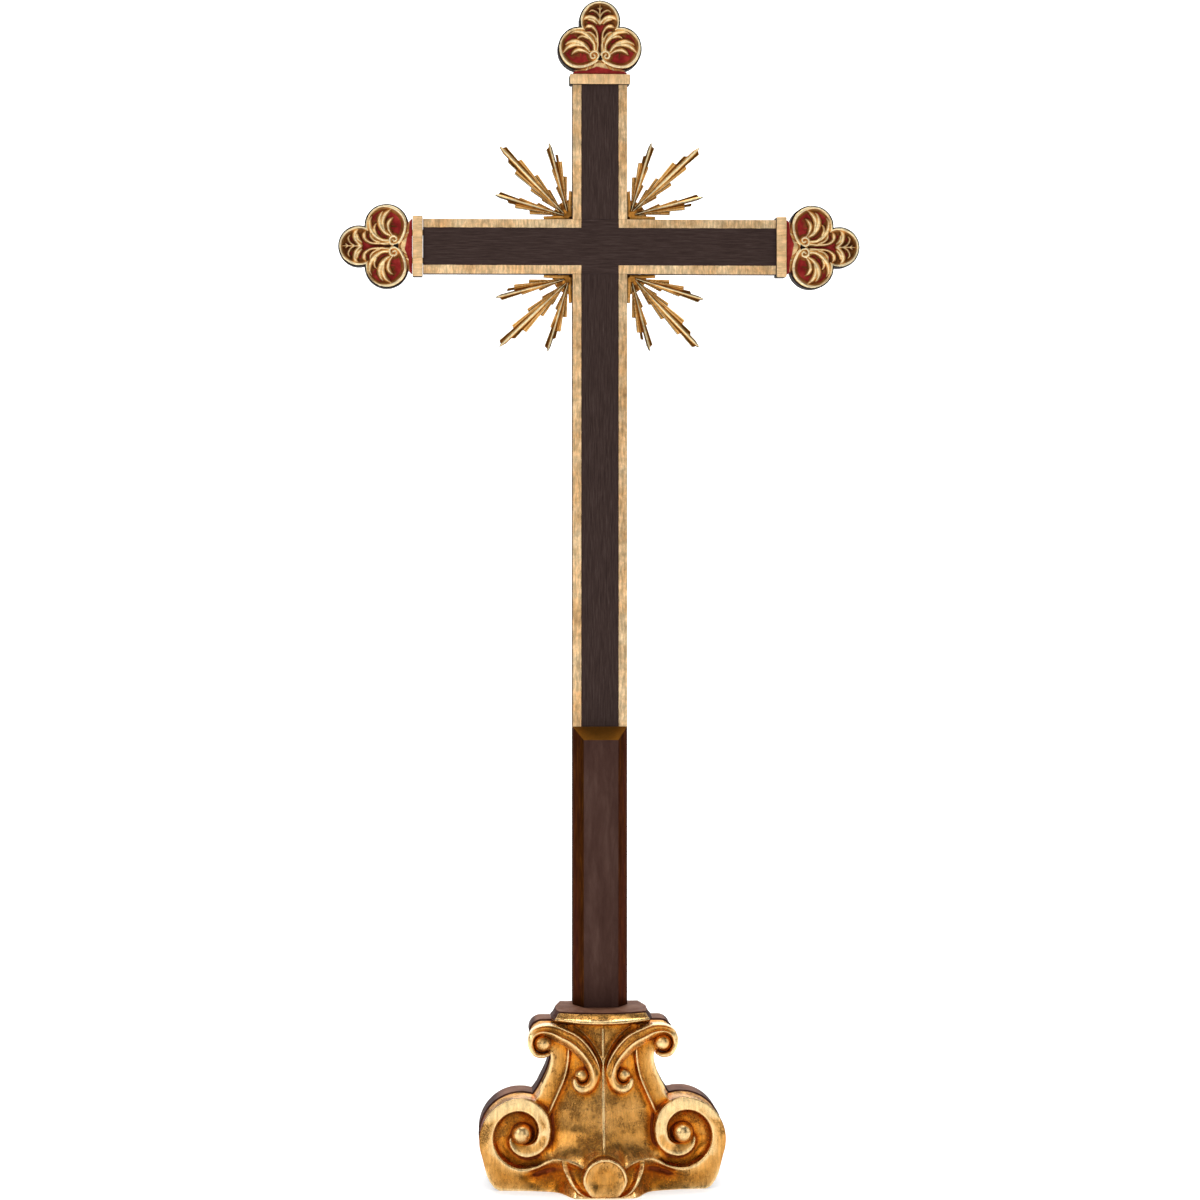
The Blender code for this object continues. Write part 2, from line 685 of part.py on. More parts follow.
def build_base(root, upright, cheek):
    parent = add_empty("base_assembly", root)
    plate = add_plate(parent)
    core = add_core(parent)
    for side, hand in ((-1, "left"), (1, "right")):
        console = add_console(side, "base_console_" + hand, parent)
        scroll = add_c_scroll(side, "c_scroll_" + hand, parent, (console, core))
        add_eye(
            f"volute_eye_{hand}", VOLUTE_EYE, VOLUTE_EYE_RADIUS,
            CONSOLE_FRONT + CHANNEL_DEPTH - GAP, side, parent, (console,),
        )
        add_eye(
            f"outer_eye_{hand}", OUTER_EYE, OUTER_EYE_RADIUS, EYE_BACK, side, parent,
            (console, scroll),
        )
        add_eye(
            f"inner_eye_{hand}", INNER_EYE, INNER_EYE_RADIUS, EYE_BACK, side, parent, (core, scroll)
        )
    foot = add_foot(parent)
    front, rear = FOOT_DOWEL_ENDS
    for name, x in (("foot_dowel_left", -FOOT_DOWEL_OFFSET), ("foot_dowel_right", FOOT_DOWEL_OFFSET)):
        add_dowel(
            name, (x, front, FOOT_CENTRE_Z), (x, rear, FOOT_CENTRE_Z), DOWEL_RADIUS,
            (foot, core), parent,
        )
    down, up = PLATE_DOWEL_REACH
    for name, x in (("plate_dowel_left", -PLATE_DOWEL_OFFSET), ("plate_dowel_right", PLATE_DOWEL_OFFSET)):
        add_dowel(
            name, (x, PLATE_DOWEL_Y, PLATE_TOP_Z - down), (x, PLATE_DOWEL_Y, PLATE_TOP_Z + up),
            DOWEL_RADIUS, (plate, core, cheek), parent,
        )
    add_tie_rod(parent, upright, plate, core)


def main():
    clear_scene()
    root = add_empty("altar_cross")
    upright, cheek = build_cross(root)
    build_base(root, upright, cheek)


main()
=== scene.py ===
"""Looks of the altar cross: carved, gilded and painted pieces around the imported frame.

Carved pieces are sampled solids: a distance field in millimetres is built from outlines, ribbons
and relief heights, and its zero level becomes the mesh. Heights are measured forward (towards -Y).
"""

import itertools
import math

import bmesh
import bpy
import numpy as np
from mathutils import Matrix, Vector


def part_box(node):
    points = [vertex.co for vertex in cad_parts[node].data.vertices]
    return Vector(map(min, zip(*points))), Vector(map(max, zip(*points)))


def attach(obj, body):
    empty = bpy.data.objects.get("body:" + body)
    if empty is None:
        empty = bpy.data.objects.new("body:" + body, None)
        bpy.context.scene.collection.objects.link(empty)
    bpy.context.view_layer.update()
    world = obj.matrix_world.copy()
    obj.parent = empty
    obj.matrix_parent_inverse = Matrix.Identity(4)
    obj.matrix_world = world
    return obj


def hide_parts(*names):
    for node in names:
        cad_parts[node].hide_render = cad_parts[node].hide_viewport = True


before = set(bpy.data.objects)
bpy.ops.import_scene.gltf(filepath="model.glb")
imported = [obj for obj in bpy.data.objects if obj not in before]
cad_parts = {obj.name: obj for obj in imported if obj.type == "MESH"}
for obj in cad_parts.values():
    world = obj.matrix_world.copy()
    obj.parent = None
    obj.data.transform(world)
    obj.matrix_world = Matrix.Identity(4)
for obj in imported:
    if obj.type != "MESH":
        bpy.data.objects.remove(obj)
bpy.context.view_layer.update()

MM = 0.001
BODY = "root"


def box_mm(node):
    low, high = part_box(node)
    return np.array(low) / MM, np.array(high) / MM


# ---- sizes from the frame

UPRIGHT_LOW, UPRIGHT_HIGH = box_mm("upright_beam")
ARM_LOW, ARM_HIGH = box_mm("crossbeam")
BACK = UPRIGHT_HIGH[1]
BEAM_FRONT = UPRIGHT_LOW[1]
HALF_BEAM = UPRIGHT_HIGH[0]
ARM_CENTRE_Z = (ARM_LOW[2] + ARM_HIGH[2]) / 2
ARM_REACH = ARM_HIGH[0]
UPRIGHT_TOP = UPRIGHT_HIGH[2]
BORDER = 8.5                            # width of the gilded borders
CHEEK_TOP = box_mm("stem_cheek")[1][2]
BODY_TOP = box_mm("base_core")[1][2]
BODY_BACK = BACK - 0.3                  # the base stands a little inside the plate's back
LAP = 0.15                              # how far neighbours overlap so that no joint gapes
FOOT_LAP = 1.3                          # how far the body runs in behind the foot's edge
GESSO = 0.6                             # how far the body's carved front is softened

# ---- fields on a grid


def unit(value):
    return np.clip(value, 0, 1)


def dome(value):
    """A half circle's height: 1 in the middle, 0 at -1 and 1 and beyond."""
    return np.sqrt(unit(1 - value * value))


def line_at(table, value):
    """Straight runs through the table's pairs, read at an array of values."""
    return np.interp(value, [row[0] for row in table], [row[1] for row in table])


def grid(low, high, step, fine_to=None, coarse=3):
    """Open x, y and z coordinates past both corners; depths behind fine_to are spaced wider."""
    spans = [np.arange(a - 2 * step, b + 2.5 * step, step) for a, b in zip(low, high)]
    if fine_to is not None:
        near = np.arange(low[1] - 2 * step, fine_to, step)
        far = np.arange(fine_to, high[1] - coarse / 2, coarse)
        spans[1] = np.concatenate([near, far, high[1] + step * np.array([-1, 1, 3])])
    x, y, z = [span.astype(np.float32) for span in spans]
    return x[:, None, None], y[None, :, None], z[None, None, :]


def ease(value, low, high):
    t = unit((value - low) / (high - low))
    return t * t * (3 - 2 * t)


def soft_max(a, b, radius):
    """The larger value, with the crease where they cross rounded off."""
    blend = np.maximum(radius - np.abs(a - b), 0)
    return np.maximum(a, b) + blend * blend / (4 * radius)


def fine_path(path, steps=6):
    """Catmull-Rom points through a given path of equal tuples."""
    fine = []
    ends = [path[0]] + list(path) + [path[-1]]
    for a, b, c, d in zip(ends, ends[1:], ends[2:], ends[3:]):
        for step in range(steps):
            t = step / steps
            fine.append(tuple(
                0.5 * (2 * q + (r - p) * t + (2 * p - 5 * q + 4 * r - s) * t ** 2
                       + (3 * q - p - 3 * r + s) * t ** 3)
                for p, q, r, s in zip(a, b, c, d)
            ))
    return fine + [tuple(path[-1])]


def arc(centre, radius, start, end, steps):
    points = []
    for step in range(steps + 1):
        angle = math.radians(start + (end - start) * step / steps)
        points.append((centre[0] + radius * math.cos(angle), centre[1] + radius * math.sin(angle)))
    return points


def outline_distance(x, z, points):
    """Signed distance to a closed outline, negative inside."""
    shape = np.broadcast(x, z).shape
    nearest = np.full(shape, 1e9, np.float32)
    inside = np.zeros(shape, bool)
    for (ax, az), (bx, bz) in zip(points, points[1:] + points[:1]):
        dx, dz = bx - ax, bz - az
        run = dx * dx + dz * dz
        if run < 1e-9:
            continue
        t = unit(((x - ax) * dx + (z - az) * dz) / run)
        nearest = np.minimum(nearest, np.hypot(x - ax - t * dx, z - az - t * dz))
        if dz:
            inside ^= ((az > z) != (bz > z)) & (x < ax + (z - az) * dx / dz)
    return np.where(inside, -nearest, nearest)


def ribbon(x, z, path):
    """For a path of (x, z, half width): distance past the edge, signed side -1..1, and 0..1 along."""
    shape = np.broadcast(x, z).shape
    past = np.full(shape, 1e9, np.float32)
    side = np.zeros(shape, np.float32)
    along = np.zeros(shape, np.float32)
    count = len(path) - 1
    for index, ((ax, az, ah), (bx, bz, bh)) in enumerate(zip(path, path[1:])):
        dx, dz = bx - ax, bz - az
        run = math.hypot(dx, dz)
        if run < 1e-6:
            continue
        t = unit(((x - ax) * dx + (z - az) * dz) / run ** 2)
        off_x = x - ax - t * dx
        off_z = z - az - t * dz
        half = ah + (bh - ah) * t
        reach = np.hypot(off_x, off_z)
        better = reach - half < past
        past = np.where(better, reach - half, past)
        turned = np.sign(dx * off_z - dz * off_x)
        side = np.where(better, turned * reach / half, side)
        along = np.where(better, (index + t) / count, along)
    return past, side, along


def steepness(height, step):
    """How much longer than level the surface is, to turn a height gap into a distance."""
    flat = height[:, 0, :]
    across, up = np.gradient(flat, step)
    return np.sqrt(1 + across ** 2 + up ** 2)[:, None, :]


def relief(outline, height, y, back, step, arris):
    """A solid between its back plane and a relief height, inside an outline."""
    front = (-y - height) / steepness(height, step)
    solid = soft_max(outline, front, arris)
    return np.maximum(solid, y - back)


# ---- fields to meshes


CORNERS = list(itertools.product((0, 1), repeat=3))


def crossing_places(field, cells):
    """The mean of the places where each cell's twelve edges cross the zero level."""
    total = np.zeros((len(cells), 3))
    hits = np.zeros(len(cells))
    for start, axis in itertools.product(CORNERS, range(3)):
        if start[axis]:
            continue
        along = np.eye(3, dtype=int)[axis]
        a, b = [field[tuple((cells + end).T)].astype(float) for end in (start, start + along)]
        crossed = (a < 0) != (b < 0)
        t = np.where(crossed, a / np.where(crossed, a - b, 1), 0)
        total += (np.array(start) + along * t[:, None]) * crossed[:, None]
        hits += crossed
    return cells + total / hits[:, None]


def crossing_quads(inside, number, axis):
    """A quad of numbered cells around every crossed edge along one axis."""
    others = [other for other in range(3) if other != axis]
    here = inside[tuple(slice(1, -1) if a != axis else slice(0, -1) for a in range(3))]
    ahead = inside[tuple(slice(1, -1) if a != axis else slice(1, None) for a in range(3))]
    for flip, edges in enumerate((np.argwhere(here & ~ahead), np.argwhere(~here & ahead))):
        ring = []
        for offset in ((1, 1), (0, 1), (0, 0), (1, 0)):
            cells = edges.copy()
            cells[:, others] += offset
            ring.append(number[tuple(cells.T)])
        quads = np.stack(ring, 1)
        yield quads[:, ::-1] if flip == (axis != 1) else quads


def surface_net(field, x, y, z):
    """Points and quads of the field's zero level, one point in every cell that it crosses."""
    inside = field < 0
    size = np.array(field.shape) - 1
    count = np.zeros(size, np.int8)
    for i, j, k in CORNERS:
        count += inside[i:i + size[0], j:j + size[1], k:k + size[2]]
    cells = np.argwhere((count > 0) & (count < 8))
    number = np.full(size, -1, np.int64)
    number[tuple(cells.T)] = np.arange(len(cells))
    places = crossing_places(field, cells).T
    points = [np.interp(place, np.arange(span.size), span.ravel().astype(float))
              for place, span in zip(places, (x, y, z))]
    quads = [quad for axis in range(3) for quad in crossing_quads(inside, number, axis)]
    return np.stack(points, 1), np.concatenate(quads)


def blur(volume, radius):
    """Three box averages in a row along every axis, close to a Gaussian."""
    for axis in range(3):
        for _ in range(3):
            width = 2 * radius + 1
            pad = [(0, 0)] * 3
            pad[axis] = (radius + 1, radius)
            total = np.cumsum(np.pad(volume, pad, mode="edge"), axis=axis, dtype=np.float64)
            high = np.take(total, range(width, total.shape[axis]), axis=axis)
            low = np.take(total, range(0, total.shape[axis] - width), axis=axis)
            volume = ((high - low) / width).astype(np.float32)
    return volume


def sample(volume, low, step, points):
    """The volume's value at each point, from the nearest eight cells."""
    place = (points - np.array(low)) / step
    place = np.clip(place, 0, np.array(volume.shape) - 1.001)
    base = place.astype(int)
    part = place - base
    value = np.zeros(len(points))
    for corner in CORNERS:
        weight = np.prod(np.abs(1 - np.array(corner) - part), axis=1)
        value += weight * volume[tuple((base + corner).T)]
    return value


def add_object(name, data):
    item = bpy.data.objects.new(name, data)
    bpy.context.scene.collection.objects.link(item)
    return item


def set_attribute(piece, name, values):
    layer = piece.data.attributes.new(name, "FLOAT", "POINT")
    layer.data.foreach_set("value", np.asarray(values, np.float32))


def points_and_normals(piece):
    """Two arrays: every vertex in millimetres, and its normal."""
    points, normals = np.empty((2, len(piece.data.vertices) * 3), np.float32)
    piece.data.vertices.foreach_get("co", points)
    piece.data.vertex_normals.foreach_get("vector", normals)
    return points.reshape(-1, 3) / MM, normals.reshape(-1, 3)


def thin_out(piece, ratio):
    """Collapse edges where the surface is plain."""
    modifier = piece.modifiers.new("thin_out", "DECIMATE")
    modifier.ratio = ratio
    evaluated = piece.evaluated_get(bpy.context.evaluated_depsgraph_get())
    mesh = bpy.data.meshes.new_from_object(evaluated)
    piece.modifiers.clear()
    old = piece.data
    piece.data = mesh
    bpy.data.meshes.remove(old)
    mesh.name = piece.name
    mesh.shade_smooth()


def stand_for(piece, node, material):
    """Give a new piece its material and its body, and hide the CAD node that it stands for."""
    piece.data.materials.clear()
    piece.data.materials.append(material)
    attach(piece, BODY)
    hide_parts(node)


def net_piece(name, field, axes, budget, mirrored=False, shift=0):
    """An object from a field, brought down to a budget of triangles."""
    points, quads = surface_net(field, *axes)
    points[:, 1] += shift
    if mirrored:
        points, quads = points * np.array([-1, 1, 1]), quads[:, ::-1]
    mesh = bpy.data.meshes.new(name)
    mesh.from_pydata((points * MM).tolist(), [], quads.tolist())
    mesh.shade_smooth()
    mesh.update()
    piece = add_object(name, mesh)
    thin_out(piece, min(1, budget / (2 * len(quads))))
    return piece


def place_copy(master, name, node, place, material):
    """Stand a copy of a carved master at its place on the cross."""
    piece = add_object(name, master.data.copy())
    piece.data.name = name
    piece.matrix_world = place
    stand_for(piece, node, material)


# ---- base: shared shapes

# The lower volute about its eye: (angle, radius). 0 points to the centre line, 90 up, 180 outward
EYE_X, EYE_Z = 79.4, 53.6
EYE_RADIUS = 10.3
CURL_EDGE = [(180, 11.8), (187, 12.3), (230, 17.8), (274, 22.8), (318, 26.2), (345, 28.2),
             (366, 29)]
FACE_EDGE = [(-6, 28.4), (6, 29), (45, 33), (90, 37.6), (140, 42), (194, 45.2), (230, 47)]
CHANNEL_EDGE = [
    (-10, 14.2), (0, 15), (45, 19), (90, 23), (140, 26), (190, 28.5), (228, 30.2), (265, 32.6),
    (295, 34.2), (318, 36.4), (330, 39.6), (345, 46), (352, 54),
]
CURL_START, FACE_END = 187, 194         # angles: the curl's ribbon starts, the upper face ends
CURL_TURN = 360 - CURL_START
FACE_HEIGHT = 16
CHANNEL_DEPTH = 11.5
LEG_HEIGHT = 8
LEG = [(44, 158, 9), (41.2, 136, 9), (44.6, 115, 9.9), (52, 97, 10.2), (57, 86, 10.2),
       (63, 72, 10.2)]
# Heights against distance from the centre line (JOINT, FLANK_HALF) or how far forward (KEEL, FLANK);
# the RIDGE_ and FLARE_ tables run across, and the ribbons say (across, height, half width)
JOINT = [(0, 37), (22, 37.5), (34, 49.5), (50, 49.5), (78, 50.5), (95, 41),
         (111, 33), (136, 30), (BODY_TOP, 28)]
KEEL = [(30, 38.5), (34, 38), (45, 37), (60, 34), (78, 31), (95, 27), (111, 24),
        (125, 21), (136, 18.5), (153, 15), (165, 14)]
SKIRT_TOP = 60
FLANK = [(30, 7), (50, 6), (78, 3), (95, 3), (111, 4), (136, 5), (165, 6)]
RIDGE = [(0, 39), (8, 37.4), (14, 33.6), (18, 29.2), (20.5, 26.8), (25, 28.4), (30, 29.6),
         (36, 30.5), (41, 30.7), (48, 29.5), (57, 26.4), (66, 22.6), (79, 21), (96, 23),
         (108, 33)]                                  # lower edge of the skirt: across, height
RIDGE_FRONT = [(0, 44), (8, 45.4), (14, 47), (20.5, 47), (25, 41.5), (30, 35.6), (36, 29.6),
               (41, 25.4), (50, 18.4), (57, 16), (110, 16)]
FLANK_HALF = [(30, 49.5), (50, 49.5), (78, 50.5), (95, 41), (111, 33), (136, 30), (165, 28)]
FLARE_FRONT = [(0, 61), (28, 61), (33, 56), (38, 45), (45, 32), (52, 27.5), (60, 25),
               (75, 21.5), (100, 19), (115, 17)]    # the flare's front at the ground
SCROLL_FRONT, SCROLL_BACK = 23.4, -8.4
C_SCROLL = [
    (53.6, 134, 1.8), (59.6, 132, 2.4), (67.2, 134.6, 2.7), (71.2, 143.6, 3),
    (69, 152.2, 3.9), (61.6, 156.6, 5.2), (51, 156, 6.8),
    (41, 151.5, 7.8), (29, 145, 8.2), (18.4, 134.5, 7.6), (10.6, 122.4, 6.4),
    (8.2, 111.4, 5.9), (11.6, 102.8, 5.8), (19, 99, 5.5), (25.6, 102, 4.4), (27.8, 108, 2.6),
]


def curve_at(table, value):
    """A smooth curve without overshoot through the table's pairs, read at an array of values."""
    xs = np.array([pair[0] for pair in table], float)
    ys = np.array([pair[1] for pair in table], float)
    slope = np.diff(ys) / np.diff(xs)
    both = slope[:-1] * slope[1:]
    middle = np.where(both > 0, 2 * both / np.where(both > 0, slope[:-1] + slope[1:], 1), 0)
    tangent = np.concatenate([slope[:1], middle, slope[-1:]])
    index = np.clip(np.searchsorted(xs, value, side="right") - 1, 0, len(xs) - 2)
    run = xs[index + 1] - xs[index]
    t = unit((value - xs[index]) / run)
    blend = t * t * (3 - 2 * t)
    bend = run * (t * (1 - t) ** 2 * tangent[index] - t * t * (1 - t) * tangent[index + 1])
    return ys[index] * (1 - blend) + ys[index + 1] * blend + bend


def flare_height(u, z):
    """The front below the ridge line: it sweeps forward towards the ground and the foot."""
    ridge = curve_at(RIDGE, u)
    top = curve_at(RIDGE_FRONT, u)
    drop = unit(1 - z / ridge)
    under = np.exp(-((drop - 0.34) / 0.24) ** 2) * (1 - ease(u, 62, 84))
    return top + (curve_at(FLARE_FRONT, u) - top) * drop ** 2.2 - 6.5 * under


def joint_place(z):
    """Where the consoles meet the core."""
    return line_at(JOINT, z)


def flank_height(u, z):
    """The keeled middle: hollow flanks beside the keel, sweeping forward as a skirt to the ridge."""
    side = curve_at(FLANK, z)
    keel = curve_at(KEEL, z)
    across = unit(u / line_at(FLANK_HALF, z))
    flank = side + (keel - side) * (1 - across) ** 1.35
    ridge = curve_at(RIDGE, u)
    reach = unit((SKIRT_TOP - z) / (SKIRT_TOP - ridge))
    sweep = reach ** np.interp(u, [0, 20, 45], [4, 2.3, 2])
    return flank + np.maximum(curve_at(RIDGE_FRONT, u) - flank, 0) * sweep


def volute_height(u, z, outside):
    """The lower volute: a flat ribbon that winds in to the eye, over a deep channel."""
    reach = np.hypot(EYE_X - u, z - EYE_Z)
    angle = np.degrees(np.arctan2(z - EYE_Z, EYE_X - u)) % 360
    upper = angle < FACE_END
    curl = curve_at(CURL_EDGE, angle)
    face = curve_at(FACE_EDGE, angle)
    channel = curve_at(CHANNEL_EDGE, angle)

    root = EYE_RADIUS - 0.6             # the channel starts just inside the bead's edge
    inner = np.where(angle < CURL_START, root, curl)
    t = unit((reach - inner) / (channel - inner))
    cove = FACE_HEIGHT - CHANNEL_DEPTH * dome(t)
    opening = ease(angle, 298, 328)
    cove = np.where(angle >= CURL_START, cove * (1 - opening) + outside * opening, cove)

    groove = root + 5.3 * ease(angle, 262, 360)
    s = unit((reach - EYE_RADIUS + 0.6) / (groove - EYE_RADIUS + 0.6))
    turn = (360 - angle) / CURL_TURN
    tilt = (curl - reach) / (curl - EYE_RADIUS + 1)
    curl_face = FACE_HEIGHT - 5 * turn - 3 * unit(tilt) ** 1.5 * ease(turn, 0, 0.4)
    curl_face -= CHANNEL_DEPTH * ease(angle, 262, 360) * dome(s)

    body = np.where(z < curve_at(RIDGE, u), flare_height(u, z), FACE_HEIGHT)
    height = np.where(upper & (reach <= face), FACE_HEIGHT, outside)
    height = np.where(upper & (reach <= channel), cove, height)
    height = np.where(~upper & (reach >= channel), body, height)
    height = np.where(~upper & (reach < channel), cove, height)
    height = np.where(~upper & (reach < curl), curl_face, height)
    beyond = ~upper & (angle > 318) & (reach >= channel) & (z >= curve_at(RIDGE, u))
    return np.where(beyond, outside, height)


def leg_height(u, z):
    """The leg above the volute: a shallow hollow with a bead along its inner edge."""
    past, side, _ = ribbon(u, z, fine_path(LEG))
    hollow = LEG_HEIGHT - 2.8 * unit(1 - side * side)
    bead = 2.6 * dome((side + 0.84) / 0.16)
    flank = flank_height(u, z)
    beside = flank + (LEG_HEIGHT - 1.5 - flank) * unit(1 - past / 5) ** 2
    inward = np.where(past < 5, np.minimum(beside, np.maximum(LEG_HEIGHT, flank)), flank)
    off = np.where((side < 0) | (u < joint_place(z) + 1), inward, LEG_HEIGHT)
    return np.where(past < 0, hollow + bead, off)


def foot_back(z):
    """How far forward the foot starts."""
    return 36 - 28 * ease(z, 12, 37)


def foot_room(u, z, height):
    """Keep a piece behind the foot, a little inside the foot's outline."""
    inside = outline_distance(u, z, FOOT_OUTLINE) < -FOOT_LAP
    return np.where(inside, np.minimum(height, foot_back(z) - 0.3), height)


# ---- base: fields of the pieces


def front_height(u, z, step):
    """The whole front of the body behind the scrolls and the foot, softened like thick gesso."""
    leg = leg_height(u, z)
    height = np.where(z > 100, leg, volute_height(u, z, leg))
    return foot_room(u, z, blur(height.astype(np.float32), round(GESSO / step)))


COVE_FILLET, COVE_BACK, COVE_DEPTH = 2.6, 25, 3.6    # the cove along the console's side


def console_outline():
    """The console's silhouette, carried on past the joint."""
    joint = [(row[1] - 12, row[0]) for row in JOINT]
    outline = [joint[0], (101.5, 0), (106.5, 2.4), (111, 8), (114.5, 15.5)]
    outline += arc((79.6, 48), 42, -20, 106, 40)
    outline += [(row[0], row[1]) for row in fine_path([
        (63.4, 95, 0), (60.5, 101, 0), (56.9, 108, 0), (54, 115, 0), (51.6, 123, 0),
        (50.8, 129, 0), (52, 134.5, 0),
    ], 3)]
    outline += arc((58.5, 148), 13.4, -66, 90, 20)
    outline += joint[:0:-1]
    return outline


def console_front(z):
    """The depth of the console's front edge: the volute's face below, the leg above."""
    return -FACE_HEIGHT + (FACE_HEIGHT - LEG_HEIGHT) * ease(z, 88, 100)


def console_field(u, y, z, step):
    joint = joint_place(z)
    outline = outline_distance(u, z, console_outline())
    outer = ease(u - joint, 3, 9) * ease(z, 3, 14)
    front = console_front(z)
    t = unit((y - front - COVE_FILLET) / (COVE_BACK - front - COVE_FILLET))
    cove = COVE_DEPTH * dome(2 * t - 1)
    rear = 0.9 * ease(y, COVE_BACK, COVE_BACK + 2)
    height = front_height(u, z, step)
    solid = relief(outline + outer * (cove + rear), height, y, BODY_BACK, step, 1.2)
    return np.maximum(solid, joint - LAP - u)


def core_field(x, y, z, step):
    u = np.abs(x)
    height = front_height(u, z, step)
    past, side, _ = ribbon(u, z, fine_path(C_SCROLL))
    bead = 1.6 * dome((past - 4.3) / 0.95) * ease(z, 112, 122)
    height = height + np.where(side < 0, bead, 0)
    height = height + 0.9 * dome(u / 1.7) * (z < 158)
    outline = np.maximum(u - 70, np.maximum(-z, z - BODY_TOP))
    solid = relief(outline, height, y, BODY_BACK, step, 0.6)
    return np.maximum(solid, u - joint_place(z) - LAP)


def scroll_profile(side, along):
    """The C-scroll's front: fillet, hollow, ridge and falling band, round at both ends."""
    hollow = 3.6 * dome((side + 0.38) / 0.46)
    band = 6.5 * unit((side - 0.16) / 0.84) ** 1.25
    carved = -hollow - band
    tube = -7 * (1 - dome(0.98 * side))
    round_end = np.maximum(ease(along, 0.62, 0.78), 1 - ease(along, 0.2, 0.36))
    return carved * (1 - round_end) + tube * round_end


def scroll_field(u, y, z, step):
    past, side, along = ribbon(u, z, fine_path(C_SCROLL))
    height = SCROLL_FRONT + scroll_profile(side, along) - 1.5 * ease(along, 0.7, 1)
    return relief(past, height, y, SCROLL_BACK, step, 0.7)


SHANK = 5                               # room behind a bead for the shank it is held by


def eye_field(u, y, z, centre, radius, front):
    """A ball whose foremost point is at a given height, on a short shank."""
    reach = np.hypot(u - centre[0], z - centre[1])
    ball = np.sqrt(reach ** 2 + (y + front - radius) ** 2) - radius
    shank = np.maximum(reach - radius, np.abs(y + front - radius - 2) - 2)
    return np.minimum(ball, shank)


PLATE_LOW, PLATE_TOP = 161.4, 173.3
PLATE_PLAN = [(0, -19), (12, -18.3), (24, -16), (35, -12.4), (43, -8.6), (46.4, -5.6),
              (49.4, 6), (49.4, 34), (42, BACK + 8)]
PLATE_PROFILE = [(161.3, -7), (161.9, -6.2), (162.6, -2.6), (163.3, -0.6), (164.4, 0.4),
                 (165.6, 0.5), (166.6, -0.3), (167.2, -1.2), (171.2, -3.6), (172, -3.7),
                 (PLATE_TOP, -4.3)]     # height, and how far the wall stands out from the plan


def plate_field(x, y, z):
    u = np.abs(x)
    bow = 4.5 * unit(1 - (u / 44) ** 2) * (1 - ease(z, 162, 171)) * (y < 12)
    plan = PLATE_PLAN + [(-a, b) for a, b in PLATE_PLAN[:0:-1]]
    wall = outline_distance(x, y + bow, plan) - line_at(PLATE_PROFILE, z)
    return np.maximum(np.maximum(wall * 0.6, z - PLATE_TOP), np.maximum(PLATE_LOW - z, y - BACK))


SHELL_CENTRE, SHELL_RADIUS = (0, 17), 21.5
LUNETTE_SIDE = [(10.6, 0), (14.4, 2.6), (18.2, 7.4), (20.6, 12.6)]
LUNETTE = LUNETTE_SIDE + arc(SHELL_CENTRE, SHELL_RADIUS, -4, 184, 40)
LUNETTE += [(-a, b) for a, b in reversed(LUNETTE_SIDE)]
PETAL_EDGE = [(0.4, 16, 61.5), (3, 22.5, 60), (5.4, 26.8, 57.5), (10.5, 32.2, 51),
              (16.6, 36.3, 44), (22, 39.2, 36), (26, 40.6, 30), (30.7, 41.2, 25.5)]
PETAL_ROLL = 0.26                       # part of a petal's width that is its rounded outer edge
FOOT_OUTLINE = [(-1, 0), (16, 0)] + [(row[1], row[0]) for row in PETAL_EDGE] + [
    (36, 30.4), (30, 29.5), (25, 28.3)] + arc(SHELL_CENTRE, SHELL_RADIUS, 27, 93, 14)


def foot_height(u, z):
    """The half-round shell between two petals that sweep down to the ground."""
    shell = outline_distance(u, z, LUNETTE)
    depth = -shell
    rim = 2.4 * dome((depth - 1.5) / 1.5)
    field = 59 - 2.2 * ease(depth, 3.2, 14)
    lunette = field + rim * ease(z, 13, 20)

    edge_u = curve_at([(row[0], row[1]) for row in PETAL_EDGE], z)
    edge_f = curve_at([(row[0], row[2]) for row in PETAL_EDGE], z)
    wall = np.interp(z, [row[1] for row in LUNETTE_SIDE], [row[0] for row in LUNETTE_SIDE])
    t = unit((edge_u - u) / np.maximum(edge_u - wall, 1))
    t = unit((t - PETAL_ROLL) / (1 - PETAL_ROLL))
    dip = (1.5 + 3.5 * ease(z, 0, 12)) * np.sin(np.pi * t ** 0.8)
    inner = curve_at([(0, 57), (10, 50), (20, 44), (28, 42)], z)
    petal = edge_f + (inner - edge_f) * t ** 1.3 - dip
    gap = curve_at(RIDGE, u) - z
    petal += (curve_at(RIDGE_FRONT, u) - petal) * unit(1 - gap / 6) ** 2
    behind = np.maximum(petal, foot_back(z) + 2)
    return np.where(shell < 0, lunette, behind)


def foot_field(x, y, z, step):
    u = np.abs(x)
    sides = FOOT_OUTLINE[:2 + len(PETAL_EDGE)] + [(41.2, 52), (-1, 52)]
    outline = outline_distance(u, z, sides)
    field = relief(outline, foot_height(u, z), y, 0, step, 1.3)
    field = np.maximum(field, outline_distance(u, z, FOOT_OUTLINE) - LAP)
    return np.maximum(field, y + foot_back(z))


# ---- painted shade and highlights of the base, from its hollows and ridges

# Beads: centre, radius, how far forward they reach
OUTER_EYE = ((59.6, 143.9), 9.3, 22.4)
INNER_EYE = ((20.4, 111.4), 7.3, 19.6)
VOLUTE_EYE = ((EYE_X, EYE_Z), EYE_RADIUS, 17.4)
CLOUD_STEP = 1


